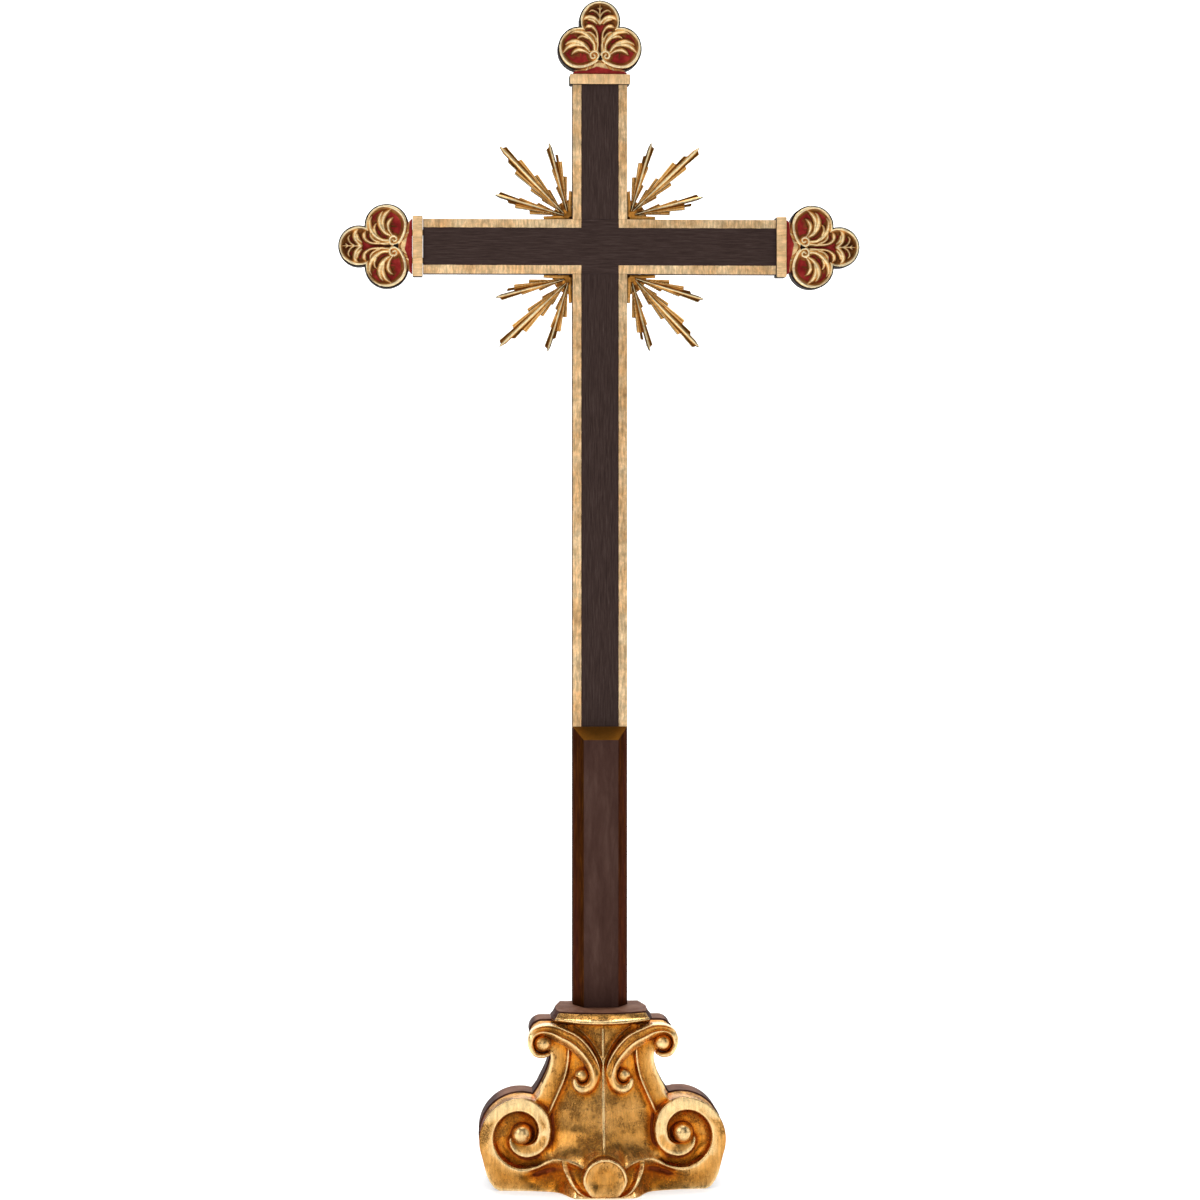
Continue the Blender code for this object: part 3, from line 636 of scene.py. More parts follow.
def base_cloud():
    """Blurred solidity of the whole base, to find its hollows and its ridges for the painted shade and
    highlights.
    """
    x, y, z = grid((0, -64, 0), (114, 64, 174), CLOUD_STEP)
    fields = [
        console_field(x, y, z, CLOUD_STEP), core_field(x, y, z, CLOUD_STEP),
        scroll_field(x, y, z, CLOUD_STEP), foot_field(x, y, z, CLOUD_STEP), plate_field(x, y, z),
        eye_field(x, y, z, *OUTER_EYE), eye_field(x, y, z, *INNER_EYE), eye_field(x, y, z, *VOLUTE_EYE),
    ]
    nearest = fields[0]
    for field in fields[1:]:
        nearest = np.minimum(nearest, field)
    solid = unit(0.5 - nearest / CLOUD_STEP).astype(np.float32)
    whole = np.concatenate([solid[:2:-1], solid[2:]], 0)
    low = (-x.flat[-1], y.flat[0], z.flat[0])
    return low, blur(whole, 1), blur(whole, 4)


def mark_painted_shade(piece, cloud):
    """Store each point's painted shade: 1 deep in a hollow, -1 a painted highlight far out on a ridge.
    """
    low, fine, broad = cloud
    points, normals = points_and_normals(piece)
    points = points + normals * 0.8
    # painted shade in creases and painted highlight on ridges, from the blurred solidity
    near = sample(fine, low, CLOUD_STEP, points) - 0.4
    far = sample(broad, low, CLOUD_STEP, points) - 0.46
    u, z = np.abs(points[:, 0]), points[:, 2]
    below = ease(curve_at(RIDGE, u) - z, 1.5, 9)
    # painted shade in the recess below the ridge line, except on the foot
    recess_shade = below * ease(u, 34, 42) * (1 - 0.75 * ease(u, 62, 88))
    recess_shade = 0.62 * recess_shade * (piece.name != "foot")
    # painted shade along the joint of console and core, where the cove lies
    cove = np.exp(-((u - joint_place(z)) / 5) ** 2) * ease(z, 30, 42)
    cove = cove * (1 - ease(z, 92, 120))
    recess_shade += 0.34 * cove * (points[:, 1] > -14)
    set_attribute(piece, "hollow", np.clip(near * 2.2 + far * 2.6 + recess_shade, -1, 1))


def mark_gilt(piece, rule):
    """Store how far each point belongs to the gilding, from a rule on places and normals."""
    set_attribute(piece, "gilt", unit(rule(*points_and_normals(piece))))


# ---- materials


class Shader:
    """A material under construction: one Principled shader and short calls for its textures."""

    def __init__(self, name):
        self.material = bpy.data.materials.new(name)
        self.material.use_nodes = True
        self.tree = self.material.node_tree
        self.principled = self.tree.nodes["Principled BSDF"]
        self.place = self.tree.nodes.new("ShaderNodeTexCoord").outputs["Object"]

    def node(self, kind, inputs=(), **settings):
        node = self.tree.nodes.new(kind)
        for key, value in settings.items():
            setattr(node, key, value)
        for key, value in dict(inputs).items():
            self.feed(node.inputs[key], value)
        return node

    def feed(self, socket, value):
        if isinstance(value, bpy.types.NodeSocket):
            self.tree.links.new(value, socket)
        else:
            socket.default_value = value

    def set(self, **values):
        """Feed the Principled shader's own sockets, with _ for the spaces in their names."""
        for key, value in values.items():
            self.feed(self.principled.inputs[key.replace("_", " ")], value)

    def attribute(self, name):
        return self.node("ShaderNodeAttribute", attribute_name=name).outputs["Fac"]

    def stretched(self, scale):
        return self.node("ShaderNodeMapping", {"Vector": self.place, "Scale": scale}).outputs[0]

    def noise(self, scale, detail=3, rough=0.55, warp=0, place=None):
        inputs = {"Vector": place or self.place, "Scale": scale, "Detail": detail,
                  "Roughness": rough, "Distortion": warp}
        return self.node("ShaderNodeTexNoise", inputs).outputs["Fac"]

    def cells(self, scale):
        inputs = {"Vector": self.place, "Scale": scale}
        return self.node("ShaderNodeTexVoronoi", inputs, feature="F1").outputs["Distance"]

    def math(self, operation, a, b=0, clamp=False):
        node = self.node("ShaderNodeMath", operation=operation, use_clamp=clamp)
        self.feed(node.inputs[0], a)
        self.feed(node.inputs[1], b)
        return node.outputs[0]

    def times(self, a, b, clamp=False):
        return self.math("MULTIPLY", a, b, clamp)

    def plus(self, a, b):
        return self.math("ADD", a, b)

    def minus(self, a, b):
        return self.math("SUBTRACT", a, b)

    def span(self, value, low, high, start=0, end=1):
        """Ease a value from one range to another, held at both ends."""
        inputs = {"Value": value, "From Min": low, "From Max": high, "To Min": start, "To Max": end}
        return self.node("ShaderNodeMapRange", inputs, interpolation_type="SMOOTHSTEP").outputs[0]

    def ramp(self, value, stops):
        node = self.node("ShaderNodeValToRGB", {"Fac": value})
        band = node.color_ramp
        while len(band.elements) < len(stops):
            band.elements.new(0.5)
        for element, (place, colour) in zip(band.elements, stops):
            element.position = place
            element.color = (*colour, 1)
        return node.outputs["Color"]

    def blend(self, amount, a, b, mode="MIX"):
        """Mix two colours."""
        node = self.node("ShaderNodeMix", data_type="RGBA", blend_type=mode)
        self.feed(node.inputs["Factor"], amount)
        colours = [socket for socket in node.inputs if socket.type == "RGBA"]
        for socket, value in zip(colours, (a, b)):
            self.feed(socket, (*value, 1) if isinstance(value, tuple) else value)
        return [socket for socket in node.outputs if socket.type == "RGBA"][0]

    def grey(self, value):
        """A colour with the value in all three channels."""
        inputs = {"Red": value, "Green": value, "Blue": value}
        return self.node("ShaderNodeCombineColor", inputs).outputs[0]

    def mottled(self, colour, value):
        """The colour, darker where the value is low."""
        darker = tuple(0.6 * part for part in colour)
        return self.blend(self.span(value, 0.3, 0.7), darker, colour)

    def weigh(self, amount, a, b):
        """Mix two numbers."""
        node = self.node("ShaderNodeMix", data_type="FLOAT")
        for socket, value in zip((0, 2, 3), (amount, a, b)):
            self.feed(node.inputs[socket], value)
        return node.outputs[0]

    def axes(self, source="Object"):
        """The three parts of the object's coordinates or of its normal."""
        place = self.tree.nodes.new("ShaderNodeTexCoord").outputs[source]
        return self.node("ShaderNodeSeparateXYZ", {"Vector": place}).outputs

    def bump(self, height, distance, strength=1, normal=None):
        inputs = {"Height": height, "Distance": distance, "Strength": strength}
        if normal:
            inputs["Normal"] = normal
        return self.node("ShaderNodeBump", inputs).outputs["Normal"]


def worn_leaf(shader, stops, hollow, cloud, patch, wear, mottle):
    """The leaf's colour from a painted highlight on ridges to painted shade in hollows, and where it is
    specked away.
    """
    depth = shader.plus(shader.times(hollow, 0.5), 0.5)
    wander = shader.times(shader.minus(cloud, 0.5), 0.26 * mottle)
    leaf = shader.ramp(shader.plus(depth, wander), stops)
    tone = shader.span(patch, 0.3, 0.72, 1 - 0.22 * mottle, 1 + 0.08 * mottle)
    scratch = shader.noise(420, 4, 0.7, 0, shader.stretched((1, 1, 0.16)))
    drawn = shader.span(scratch, 0.34, 0.66, 1 - 0.26 * mottle, 1 + 0.06 * mottle)
    leaf = shader.blend(1, leaf, shader.grey(shader.times(tone, drawn)), "MULTIPLY")

    speck = shader.noise(1500, 6, 0.85, 0.3, shader.stretched((1, 1, 0.45)))
    flat = shader.minus(1, shader.span(shader.math("ABSOLUTE", hollow), 0.5, 0.95))
    worn = shader.times(shader.span(cloud, 0.36, 0.66), flat)
    edge = shader.minus(0.68, shader.times(worn, 0.15 * wear))
    specks = shader.times(shader.times(shader.minus(speck, edge), 22, True), 0.88)
    return shader.blend(specks, leaf, BARE), specks


def gilded(name, stops, coat, wear=0.5, soft=0.3, mask=None, waves=0.0005, mottle=1, metal=1):
    """Burnished leaf; where the mask fades, the coat beneath or beside it shows.

    stops: leaf colours from a painted highlight on ridges to painted shade in hollows; coat: a colour,
    or a function that makes one; wear: how much of the leaf is specked away; soft: its roughness;
    waves: depth of the unevenness in metres; mottle: how uneven the tone is; metal: how metallic the
    leaf looks.
    """
    shader = Shader(name)
    # painted shade (1) and painted highlight (-1) stored on the pieces
    hollow = shader.attribute("hollow")
    gilt = mask(shader) if mask else shader.attribute("gilt")
    cloud = shader.noise(38, 4, 0.6)
    patch = shader.noise(110, 5, 0.65, 0.4)
    leaf, specks = worn_leaf(shader, stops, hollow, cloud, patch, wear, mottle)

    drift = shader.times(shader.minus(patch, 0.5), 0.35)
    leafed = shader.span(shader.plus(gilt, drift), 0.42, 0.58)
    under = coat(shader) if callable(coat) else shader.mottled(coat, cloud)
    shader.set(Base_Color=shader.blend(leafed, under, leaf))

    shine = shader.minus(metal, shader.times(specks, 0.6 * metal))
    shine = shader.times(shine, shader.span(hollow, 0.05, 0.7, 1, 0.45))
    shader.set(Metallic=shader.times(shine, leafed), Specular_IOR_Level=0.12, IOR=1.25)
    sheen = shader.span(patch, 0.3, 0.75, soft - 0.06, soft + 0.12)
    sheen = shader.plus(sheen, shader.times(specks, 0.25))
    shader.set(Roughness=shader.weigh(leafed, 0.6, sheen))

    broad = shader.bump(shader.noise(70, 2, 0.5), waves)
    tool = shader.bump(patch, waves * 0.25, 0.7, broad)
    grain = shader.noise(1100, 3, 0.7)
    shader.set(Normal=shader.bump(shader.plus(grain, specks), 0.00005, 0.7, tool))
    return shader.material


BARE = (0.09, 0.042, 0.01)              # where the leaf is gone
# leaf colours from a painted highlight on ridges to painted shade in hollows
BASE_LEAF_SHADING = [
    (0.08, (1, 0.7, 0.33)), (0.24, (0.84, 0.44, 0.13)), (0.42, (0.64, 0.295, 0.062)),
    (0.6, (0.78, 0.27, 0.024)), (0.84, (0.7, 0.19, 0.012)), (0.98, (0.2, 0.036, 0.007)),
]
PALE_LEAF = [
    (0.36, (1, 0.8, 0.5)), (0.46, (0.98, 0.69, 0.38)), (0.55, (0.88, 0.53, 0.24)),
    (0.68, (0.7, 0.34, 0.11)),
]
# finial leaf colours from a painted highlight on top to painted shade deep in the relief
CARVED_LEAF_SHADING = [
    (0.3, (1, 0.86, 0.56)), (0.5, (1, 0.74, 0.38)), (0.66, (0.76, 0.4, 0.13)),
    (0.82, (0.36, 0.14, 0.03)), (0.97, (0.12, 0.035, 0.01)),
]
# ray leaf colours from a painted highlight on crests to painted shade in valleys
RAY_LEAF_SHADING = [
    (0.26, (1, 0.84, 0.5)), (0.4, (0.96, 0.6, 0.23)), (0.58, (0.66, 0.28, 0.05)),
    (0.8, (0.26, 0.085, 0.012)),
]
NIGHT = (0.014, 0.008, 0.006)


def base_paint(shader):
    """Dark red-brown on the sides and the back, lighter where it lies level: a painted highlight where
    light falls from above.
    """
    cloud = shader.noise(60, 5, 0.65)
    upright = shader.ramp(cloud, [(0.32, (0.03, 0.009, 0.006)), (0.52, (0.052, 0.016, 0.01)),
                                  (0.72, (0.074, 0.026, 0.017))])
    # painted highlight: the lighter brown on level tops, where light falls from above
    level = shader.ramp(cloud, [(0.32, (0.14, 0.056, 0.032)), (0.52, (0.22, 0.1, 0.06)),
                                (0.72, (0.29, 0.145, 0.09))])
    return shader.blend(shader.span(shader.axes("Normal")[2], 0.75, 0.97), upright, level)


def brushed_paint(stretch):
    """Dark brown paint drawn out along the beam's length, with hairline scratches."""
    def coat(shader):
        streak = shader.noise(60, 6, 0.75, 0, shader.stretched(stretch))
        return shader.ramp(streak, [(0.3, (0.026, 0.015, 0.013)), (0.54, (0.05, 0.031, 0.027)),
                                    (0.7, (0.074, 0.05, 0.044)), (0.8, (0.22, 0.17, 0.15))])
    return coat


def border_mask(shader):
    """1 on the front's border strips: away from both centre lines, and above the stem's cheek."""
    x, y, z = shader.axes()
    inner = (HALF_BEAM - BORDER) * MM
    across = shader.minus(shader.math("ABSOLUTE", x), inner)
    rise = shader.math("ABSOLUTE", shader.minus(z, ARM_CENTRE_Z * MM))
    nearest = shader.math("MINIMUM", across, shader.minus(rise, inner))
    waver = shader.times(shader.minus(shader.noise(130, 3), 0.5), 0.0009)
    strip = shader.span(shader.plus(nearest, waver), -0.00012, 0.00012)
    above = shader.span(z, (CHEEK_TOP - 2) * MM, (CHEEK_TOP - 1) * MM)
    strip = shader.times(strip, above)
    front = shader.span(y, (BEAM_FRONT + 0.25) * MM, (BEAM_FRONT + 0.5) * MM, 1, 0)
    return shader.times(strip, front)


def facing_mask(shader):
    """1 where the surface faces the front."""
    return shader.span(shader.axes("Normal")[1], -0.62, -0.4, 1, 0)


def finial_coat(shader):
    """Red ground inside, dark edge outside."""
    cloud = shader.noise(120, 4)
    red = shader.ramp(cloud, [(0.32, (0.19, 0.012, 0.012)), (0.52, (0.3, 0.022, 0.02)),
                              (0.72, (0.42, 0.045, 0.035))])
    return shader.blend(shader.span(shader.attribute("ground"), 0.3, 0.7), NIGHT, red)


def cheek_paint():
    """The stem's front: mottled brown; its chamfers: a bronze glaze, redder on the top one."""
    shader = Shader("cheek_paint")
    streak = shader.noise(14, 6, 0.68, 0.3, shader.stretched((5, 5, 1)))
    front = shader.ramp(streak, [(0.3, (0.044, 0.02, 0.016)), (0.52, (0.068, 0.034, 0.027)),
                                 (0.75, (0.104, 0.058, 0.046))])
    _, out, up = shader.axes("Normal")
    fine = shader.noise(60, 6, 0.75, 0.2, shader.stretched((5, 5, 0.8)))
    glaze = shader.ramp(fine, [(0.32, (0.02, 0.006, 0.001)), (0.54, (0.052, 0.019, 0.002)),
                               (0.76, (0.13, 0.052, 0.007))])
    top = shader.span(up, 0.3, 0.6)
    glaze = shader.blend(top, glaze, (0.17, 0.068, 0.01))
    level = shader.span(out, -0.97, -0.9)
    shader.set(Base_Color=shader.blend(level, front, glaze))
    shader.set(Metallic=shader.times(level, 0.75), Specular_IOR_Level=0.12, IOR=1.25)
    shader.set(Specular_Tint=(0.55, 0.32, 0.16, 1))
    shader.set(Roughness=shader.span(streak, 0.3, 0.7, 0.46, 0.6))
    broad = shader.bump(shader.noise(45, 3, 0.5, 0, shader.stretched((2, 2, 0.6))), 0.0006)
    shader.set(Normal=shader.bump(shader.noise(900, 4, 0.7), 0.00004, 0.8, broad))
    return shader.material


# ---- base: pieces


def console_gilt(points, normals):
    """Leaf on the front and in the cove along the outer side; paint on the fillets and behind."""
    y, z = points[:, 1], points[:, 2]
    front = console_front(z)
    facing = ease(-normals[:, 1], 0.15, 0.45)
    cove = ease(y, front + 2.2, front + 3.6) * (1 - ease(y, 23.4, 25.2))
    leg_side = ease(z, 97, 101) * (1 - ease(z, 134, 138))
    cove = cove * (1 - leg_side) * ease(z, 20, 60)
    behind = 1 - ease(y, 22, 24)
    return np.maximum(facing, cove) * behind


def front_gilt(points, _):
    """Leaf on everything but the rear of the sides."""
    return 1 - ease(points[:, 1], 18, 24)


def plate_gilt(points, normals):
    """Leaf on the front moulding only; the top and both sides are painted."""
    below = 1 - ease(points[:, 2], 171.3, 172)
    front = ease(-normals[:, 1], 0.25, 0.45) * (np.abs(normals[:, 0]) < 0.75)
    return np.maximum(below * front, ease(-normals[:, 2], 0.4, 0.8)) * (points[:, 1] < 20)


def add_base(leaf):
    """Every piece of the base: its corners in millimetres, its field and its triangle budget."""
    cloud = base_cloud()

    def add(name, node, low, high, field, budget, rule, mirrored=False, fine_to=None, cell=0.55):
        axes = grid(low, high, cell, fine_to)
        piece = net_piece(name, field(*axes, cell), axes, budget, mirrored)
        mark_painted_shade(piece, cloud)
        mark_gilt(piece, rule)
        stand_for(piece, node, leaf)

    def bead(eye):
        return lambda x, y, z, cell: eye_field(x, y, z, *eye)

    for hand, mirrored in (("right", False), ("left", True)):
        add("console_" + hand, "base_console_" + hand, (27, -52, 0), (123, BODY_BACK, 162),
            console_field, 52000, console_gilt, mirrored, 30)
        add("scroll_" + hand, "c_scroll_" + hand, (2, -26, 92), (76, SCROLL_BACK, 165),
            scroll_field, 22000, front_gilt, mirrored)
        for label, eye in (("volute", VOLUTE_EYE), ("outer", OUTER_EYE), ("inner", INNER_EYE)):
            (across, up), radius, front = eye
            centre = np.array([across, radius - front, up])
            low, high = centre - radius, centre + radius + (0, SHANK, 0)
            add(f"{label}_bead_{hand}", f"{label}_eye_{hand}", low, high, bead(eye), 3000,
                front_gilt, mirrored, cell=0.6)
    add("core", "base_core", (-56, -64, 0), (56, BODY_BACK, 162), core_field, 50000, front_gilt,
        fine_to=6)
    add("foot", "foot_lunette", (-43, -64, 0), (43, -13, 40), foot_field, 26000, front_gilt)
    add("plate", "base_top_plate", (-51, -26, 161), (51, BACK, 174),
        lambda x, y, z, cell: plate_field(x, y, z), 14000, plate_gilt)


# ---- cross: beams, cheek and collars

ENDS = ("top", "left", "right")
COLLAR_EDGE = 1.5
CHEEK_FACE_HALF, CHEEK_TOP_BEVEL = 17.3, 12
FIT, SLACK = 0.15, 0.3                  # half the lap joint's play, and the play beside it


def rounded(name, outline, plane, low, high, radius, node, material, segments=3):
    """An outline in one plane carried along the third axis, with every edge rounded."""
    axis = "xyz".index(({"x", "y", "z"} - set(plane)).pop())
    first, second = ["xyz".index(letter) for letter in plane]
    shape = bmesh.new()
    corners = []
    for a, b in outline:
        point = [0, 0, 0]
        point[first], point[second], point[axis] = a, b, low
        corners.append(shape.verts.new(point))
    carried = bmesh.ops.extrude_face_region(shape, geom=[shape.faces.new(corners)])
    moved = [item for item in carried["geom"] if isinstance(item, bmesh.types.BMVert)]
    offset = Vector((0, 0, 0))
    offset[axis] = high - low
    bmesh.ops.translate(shape, verts=moved, vec=offset)
    bmesh.ops.bevel(shape, geom=shape.edges[:], offset=radius, segments=segments, profile=0.6,
                    affect="EDGES", clamp_overlap=True)
    return finish_shape(name, shape, node, material)


def finish_shape(name, shape, node, material):
    """A bmesh in millimetres as a piece that stands for a node."""
    bmesh.ops.scale(shape, vec=(MM, MM, MM), verts=shape.verts)
    bmesh.ops.recalc_face_normals(shape, faces=shape.faces)
    mesh = bpy.data.meshes.new(name)
    shape.to_mesh(mesh)
    shape.free()
    mesh.shade_smooth()
    mesh.set_sharp_from_angle(angle=math.radians(34))
    piece = add_object(name, mesh)
    stand_for(piece, node, material)
    return piece


def add_beams(upright_panel, arm_panel):
    """The half-lapped beams: the crossbeam passes in front of the upright."""
    low, top = UPRIGHT_LOW[2], UPRIGHT_HIGH[2]
    notch_low, notch_high = ARM_LOW[2] - 0.1, ARM_HIGH[2] + 0.1
    lap = (BEAM_FRONT + BACK) / 2
    side = [(BEAM_FRONT, low), (BACK, low), (BACK, top), (BEAM_FRONT, top), (BEAM_FRONT, notch_high),
            (lap + FIT, notch_high), (lap + FIT, notch_low), (BEAM_FRONT, notch_low)]
    rounded("upright", side, "yz", -HALF_BEAM, HALF_BEAM, 0.4, "upright_beam", upright_panel,
            2)
    plan = [(-ARM_REACH, BEAM_FRONT), (ARM_REACH, BEAM_FRONT), (ARM_REACH, BACK),
            (HALF_BEAM + SLACK, BACK), (HALF_BEAM + SLACK, lap - FIT),
            (-HALF_BEAM - SLACK, lap - FIT), (-HALF_BEAM - SLACK, BACK), (-ARM_REACH, BACK)]
    rounded("arm", plan, "xy", ARM_LOW[2], ARM_HIGH[2], 0.4, "crossbeam", arm_panel, 2)


def add_cheek(paint):
    low, high = box_mm("stem_cheek")
    face_half, face_top = CHEEK_FACE_HALF, high[2] - CHEEK_TOP_BEVEL
    shape = bmesh.new()
    rings = []
    for y, half, top in ((high[1], high[0], high[2]), (low[1], face_half, face_top)):
        rings.append([shape.verts.new(point) for point in (
            (-half, y, low[2]), (half, y, low[2]), (half, y, top), (-half, y, top))])
    for index in range(4):
        after = (index + 1) % 4
        shape.faces.new((rings[0][index], rings[0][after], rings[1][after], rings[1][index]))
    shape.faces.new(rings[0])
    shape.faces.new(rings[1])
    bmesh.ops.bevel(shape, geom=shape.edges[:], offset=0.55, segments=2, profile=0.6, affect="EDGES")
    finish_shape("cheek", shape, "stem_cheek", paint)


def turned(end):
    """Where an end piece stands: its origin at the beam's end, +Z outward."""
    if end == "top":
        return Matrix.Translation((0, 0, UPRIGHT_TOP * MM))
    side = -1 if end == "left" else 1
    place = Matrix.Translation((side * ARM_REACH * MM, 0, ARM_CENTRE_Z * MM))
    return place @ Matrix.Rotation(math.radians(side * 90), 4, "Y")


def add_collars(gilt):
    low, high = box_mm("collar_top")
    outline = [(low[0], low[1]), (high[0], low[1]), (high[0], high[1]), (low[0], high[1])]
    for end in ENDS:
        piece = rounded("collar_ring_" + end, outline, "xy", low[2] - UPRIGHT_TOP,
                        high[2] - UPRIGHT_TOP, COLLAR_EDGE, "collar_" + end, gilt)
        piece.matrix_world = turned(end)


# ---- cross: finials

# Rims and leaves of one half, as ribbons: across, outward, half width
END_RIM = [(17.3, 56.4, 1.2), (18.7, 61.5, 1.2), (17.6, 69, 1.2), (13.6, 76.2, 1.2),
           (7.4, 81.1, 1.2), (0, 82.8, 1.2)]
SIDE_RIM = [
    (17.3, 56.4, 1.2), (27.3, 56.2, 1.2), (34.4, 51.6, 1.2), (38.6, 45.2, 1.2), (39.8, 37.4, 1.2),
    (37.6, 29.1, 1.25), (32.4, 22, 1.3), (25.8, 18.3, 1.3), (20, 17.6, 1.3), (13.1, 18.9, 1.3),
    (6, 22.2, 1.3), (2, 25.8, 1.2), (1.4, 29.3, 1.1), (2.4, 32, 1.05), (5.4, 33.2, 1),
    (8.6, 31.9, 1), (9.6, 29.1, 1), (8.4, 26.7, 0.95), (6, 26.4, 0.9), (4.7, 28.4, 0.9),
    (5.9, 29.8, 0.9),
]
LEAVES = [
    [(5.4, 35, 1.7), (6, 41.1, 2), (10.3, 47.5, 2.6), (17.3, 52.3, 2.3), (24.4, 53.2, 1.8),
     (29.2, 51, 0.5)],
    [(12, 46.4, 1.2), (16.6, 48.4, 1.5), (20.2, 47.9, 1.2), (22.4, 46.2, 0.4)],
    [(3.6, 43, 1), (5.8, 48.8, 1.3), (9.6, 52, 1.3), (13.2, 52.6, 0.5)],
    [(10.6, 33.2, 1.4), (13.1, 37.2, 2.2), (18.8, 41.5, 2.6), (25.8, 43.4, 2.4), (31.5, 42, 1.6),
     (34.4, 39.8, 0.5)],
    [(16.6, 38.6, 1.3), (24.8, 40, 2.1), (32, 37.4, 2.2), (36.6, 31.8, 0.6)],
    [(10.8, 30.6, 1), (15.4, 33.6, 1.8), (21.4, 34.9, 2.2), (25.8, 32.8, 1.9), (28.2, 29.9, 0.5)],
    [(0, 61, 1.3), (0, 68.8, 1), (0, 75.2, 0.9), (0, 80, 0.4)],
    [(0, 74, 0.5), (1.5, 76.4, 0.6), (2.4, 76.6, 0.4)],
    [(0.2, 68, 0.9), (3.2, 72.4, 1.1), (7.8, 74.3, 1.2), (10.6, 72.8, 0.6)],
    [(0.6, 61.8, 1.6), (4.6, 66.2, 1.9), (10.3, 68, 2.2), (14.4, 66.9, 1.9), (16, 64.8, 0.6)],
    [(3.4, 61, 0.8), (7.2, 64.6, 1.9), (11.4, 65.4, 1.3)],
    [(2.7, 34.6, 1.5), (2.3, 45.4, 1.3), (3.5, 53, 1.4), (7.4, 57.9, 1.8), (11.6, 58.5, 2.1),
     (14.4, 56.9, 0.6)],
]
SLOT = [(0, 33, 1), (0, 44, 1.3), (0, 56, 3), (0, 58.6, 2.6)]
GROUND = -5.2                           # depth of the red ground below the rim
BREADTH = 1.3                           # leaves and rims are this much wider than their paths say
SIDE_LOBE = (20, 36.2, 22)              # across, outward, radius
END_LOBE = (63.8, 20.6)
SET_BACK = 1                            # the finial's rim lies this far behind the beams' front
NECK_FOOT, NECK_STEP = 12.5, 0.8        # the red neck stands on a plinth that juts out a little
EDGE_ABOVE = 15                         # the dark edge starts past the neck
GOLD_DEPTH = 6.5                        # the gilding ends this far behind the beams' front
NOWHERE = -99


def lobe_distance(u, v):
    """The three round lobes: one at each side and one at the end."""
    (side_u, side_v, side_radius), (end_v, end_radius) = SIDE_LOBE, END_LOBE
    return np.minimum(np.hypot(u - side_u, v - side_v) - side_radius,
                      np.hypot(u, v - end_v) - end_radius)


def trefoil_distance(u, v):
    """The finial's outline: three lobes and a flared neck."""
    half = np.interp(v, [10.7, 12.4, 12.6, 13.8, 14, 30], [26.8, 26.8, 25.2, 25, 24, 24])
    neck = np.maximum(np.maximum(u - half, 10.7 - v), v - 26)
    return np.minimum(lobe_distance(u, v), neck)


def broadened(path):
    return fine_path([(a, b, BREADTH * half) for a, b, half in path], 5)


def bead_lift(past, side, height):
    """A rounded ribbon's height above the ground."""
    return np.where(past < 0, height * dome(side), NOWHERE)


def finial_height(u, v):
    """Heights about the rim's top, with a mask of what is gilded and a band of painted shade beside the
    rims.
    """
    lobes = lobe_distance(u, v)
    rim_past, rim_side, _ = ribbon(u, v, broadened(SIDE_RIM))
    end_past, end_side, _ = ribbon(u, v, broadened(END_RIM))
    nearest = np.minimum(rim_past, end_past)
    ground = GROUND + 3.6 * unit(1 - nearest / 3.4) ** 2
    border = unit(1 + (lobes + 1.2) / 1.2)
    outside = -1.4 - 1.8 * border
    neck = (v < 22.5 - 0.3 * u) & (nearest > 0) & (u < 26.9) & (v < 27.5 - 1.3 * u + 6 * (u > 12))
    field = np.where(lobes > -3.2, np.maximum(outside, -3.4), ground)
    height = np.where(neck | (v < 14.2), -1.6, field)
    gold = unit(1 - (nearest - 0.1) / 0.35)
    # painted shade: the ground beside the rims is leafed and comes out dark from its depth, as a shaded
    # band
    shade = unit(1 - nearest / (3.6 + 3 * ease(v, 50, 60)))
    rims = np.maximum(bead_lift(rim_past, rim_side, 2), bead_lift(end_past, end_side, 2)) - 2
    height = np.maximum(height, rims)
    slot_past, _, _ = ribbon(u, v, SLOT)
    height = np.where(slot_past < 0, np.minimum(height, GROUND - 0.6), height)
    for leaf in LEAVES:
        past, side, along = ribbon(u, v, broadened(leaf))
        crown = 5 - 1 * along
        crown = crown * (0.65 * dome(side) + 0.35 * (1 - np.abs(side)))
        height = np.maximum(height, np.where(past < 0, GROUND + crown, NOWHERE))
        gold = np.maximum(gold, unit(1 - (past - 0.05) / 0.3))
    return height, gold, shade


def finial_field(x, y, z, step):
    u = np.abs(x)
    height = finial_height(u, z)[0] + (SET_BACK - BEAM_FRONT)
    height = height + NECK_STEP * (z < NECK_FOOT)
    return relief(trefoil_distance(u, z), height, y, BACK, step, 0.5)


def add_finials(material):
    step = 0.36
    axes = grid((-42, BEAM_FRONT - 1.2, 10.7), (42, BACK, 84.4), step, BEAM_FRONT + 8, 4)
    master = net_piece("finial_master", finial_field(*axes, step), axes, 46000)
    points, normals = points_and_normals(master)
    u, z = np.abs(points[:, 0]), points[:, 2]
    _, gold, shade = finial_height(u, z)
    edge = (trefoil_distance(u, z) > -1.35) & (z > EDGE_ABOVE)
    edge = edge | (points[:, 1] >= BEAM_FRONT + GOLD_DEPTH)
    # painted shade: darker deeper in the relief and on faces turned away from the front
    hollow = np.clip((points[:, 1] - BEAM_FRONT - 0.6) / 4, -0.3, 1) * 0.9
    hollow += 0.25 * unit(1 + normals[:, 1])
    # the painted shade band beside the rims is leafed
    set_attribute(master, "gilt", np.where(edge, 0, np.maximum(gold, 0.9 * shade ** 0.45)))
    set_attribute(master, "hollow", hollow)
    set_attribute(master, "ground", np.where(edge, 0, 1))
    for end in ENDS:
        place_copy(master, "trefoil_" + end, "finial_" + end, turned(end), material)
    bpy.data.objects.remove(master)


# ---- cross: rays

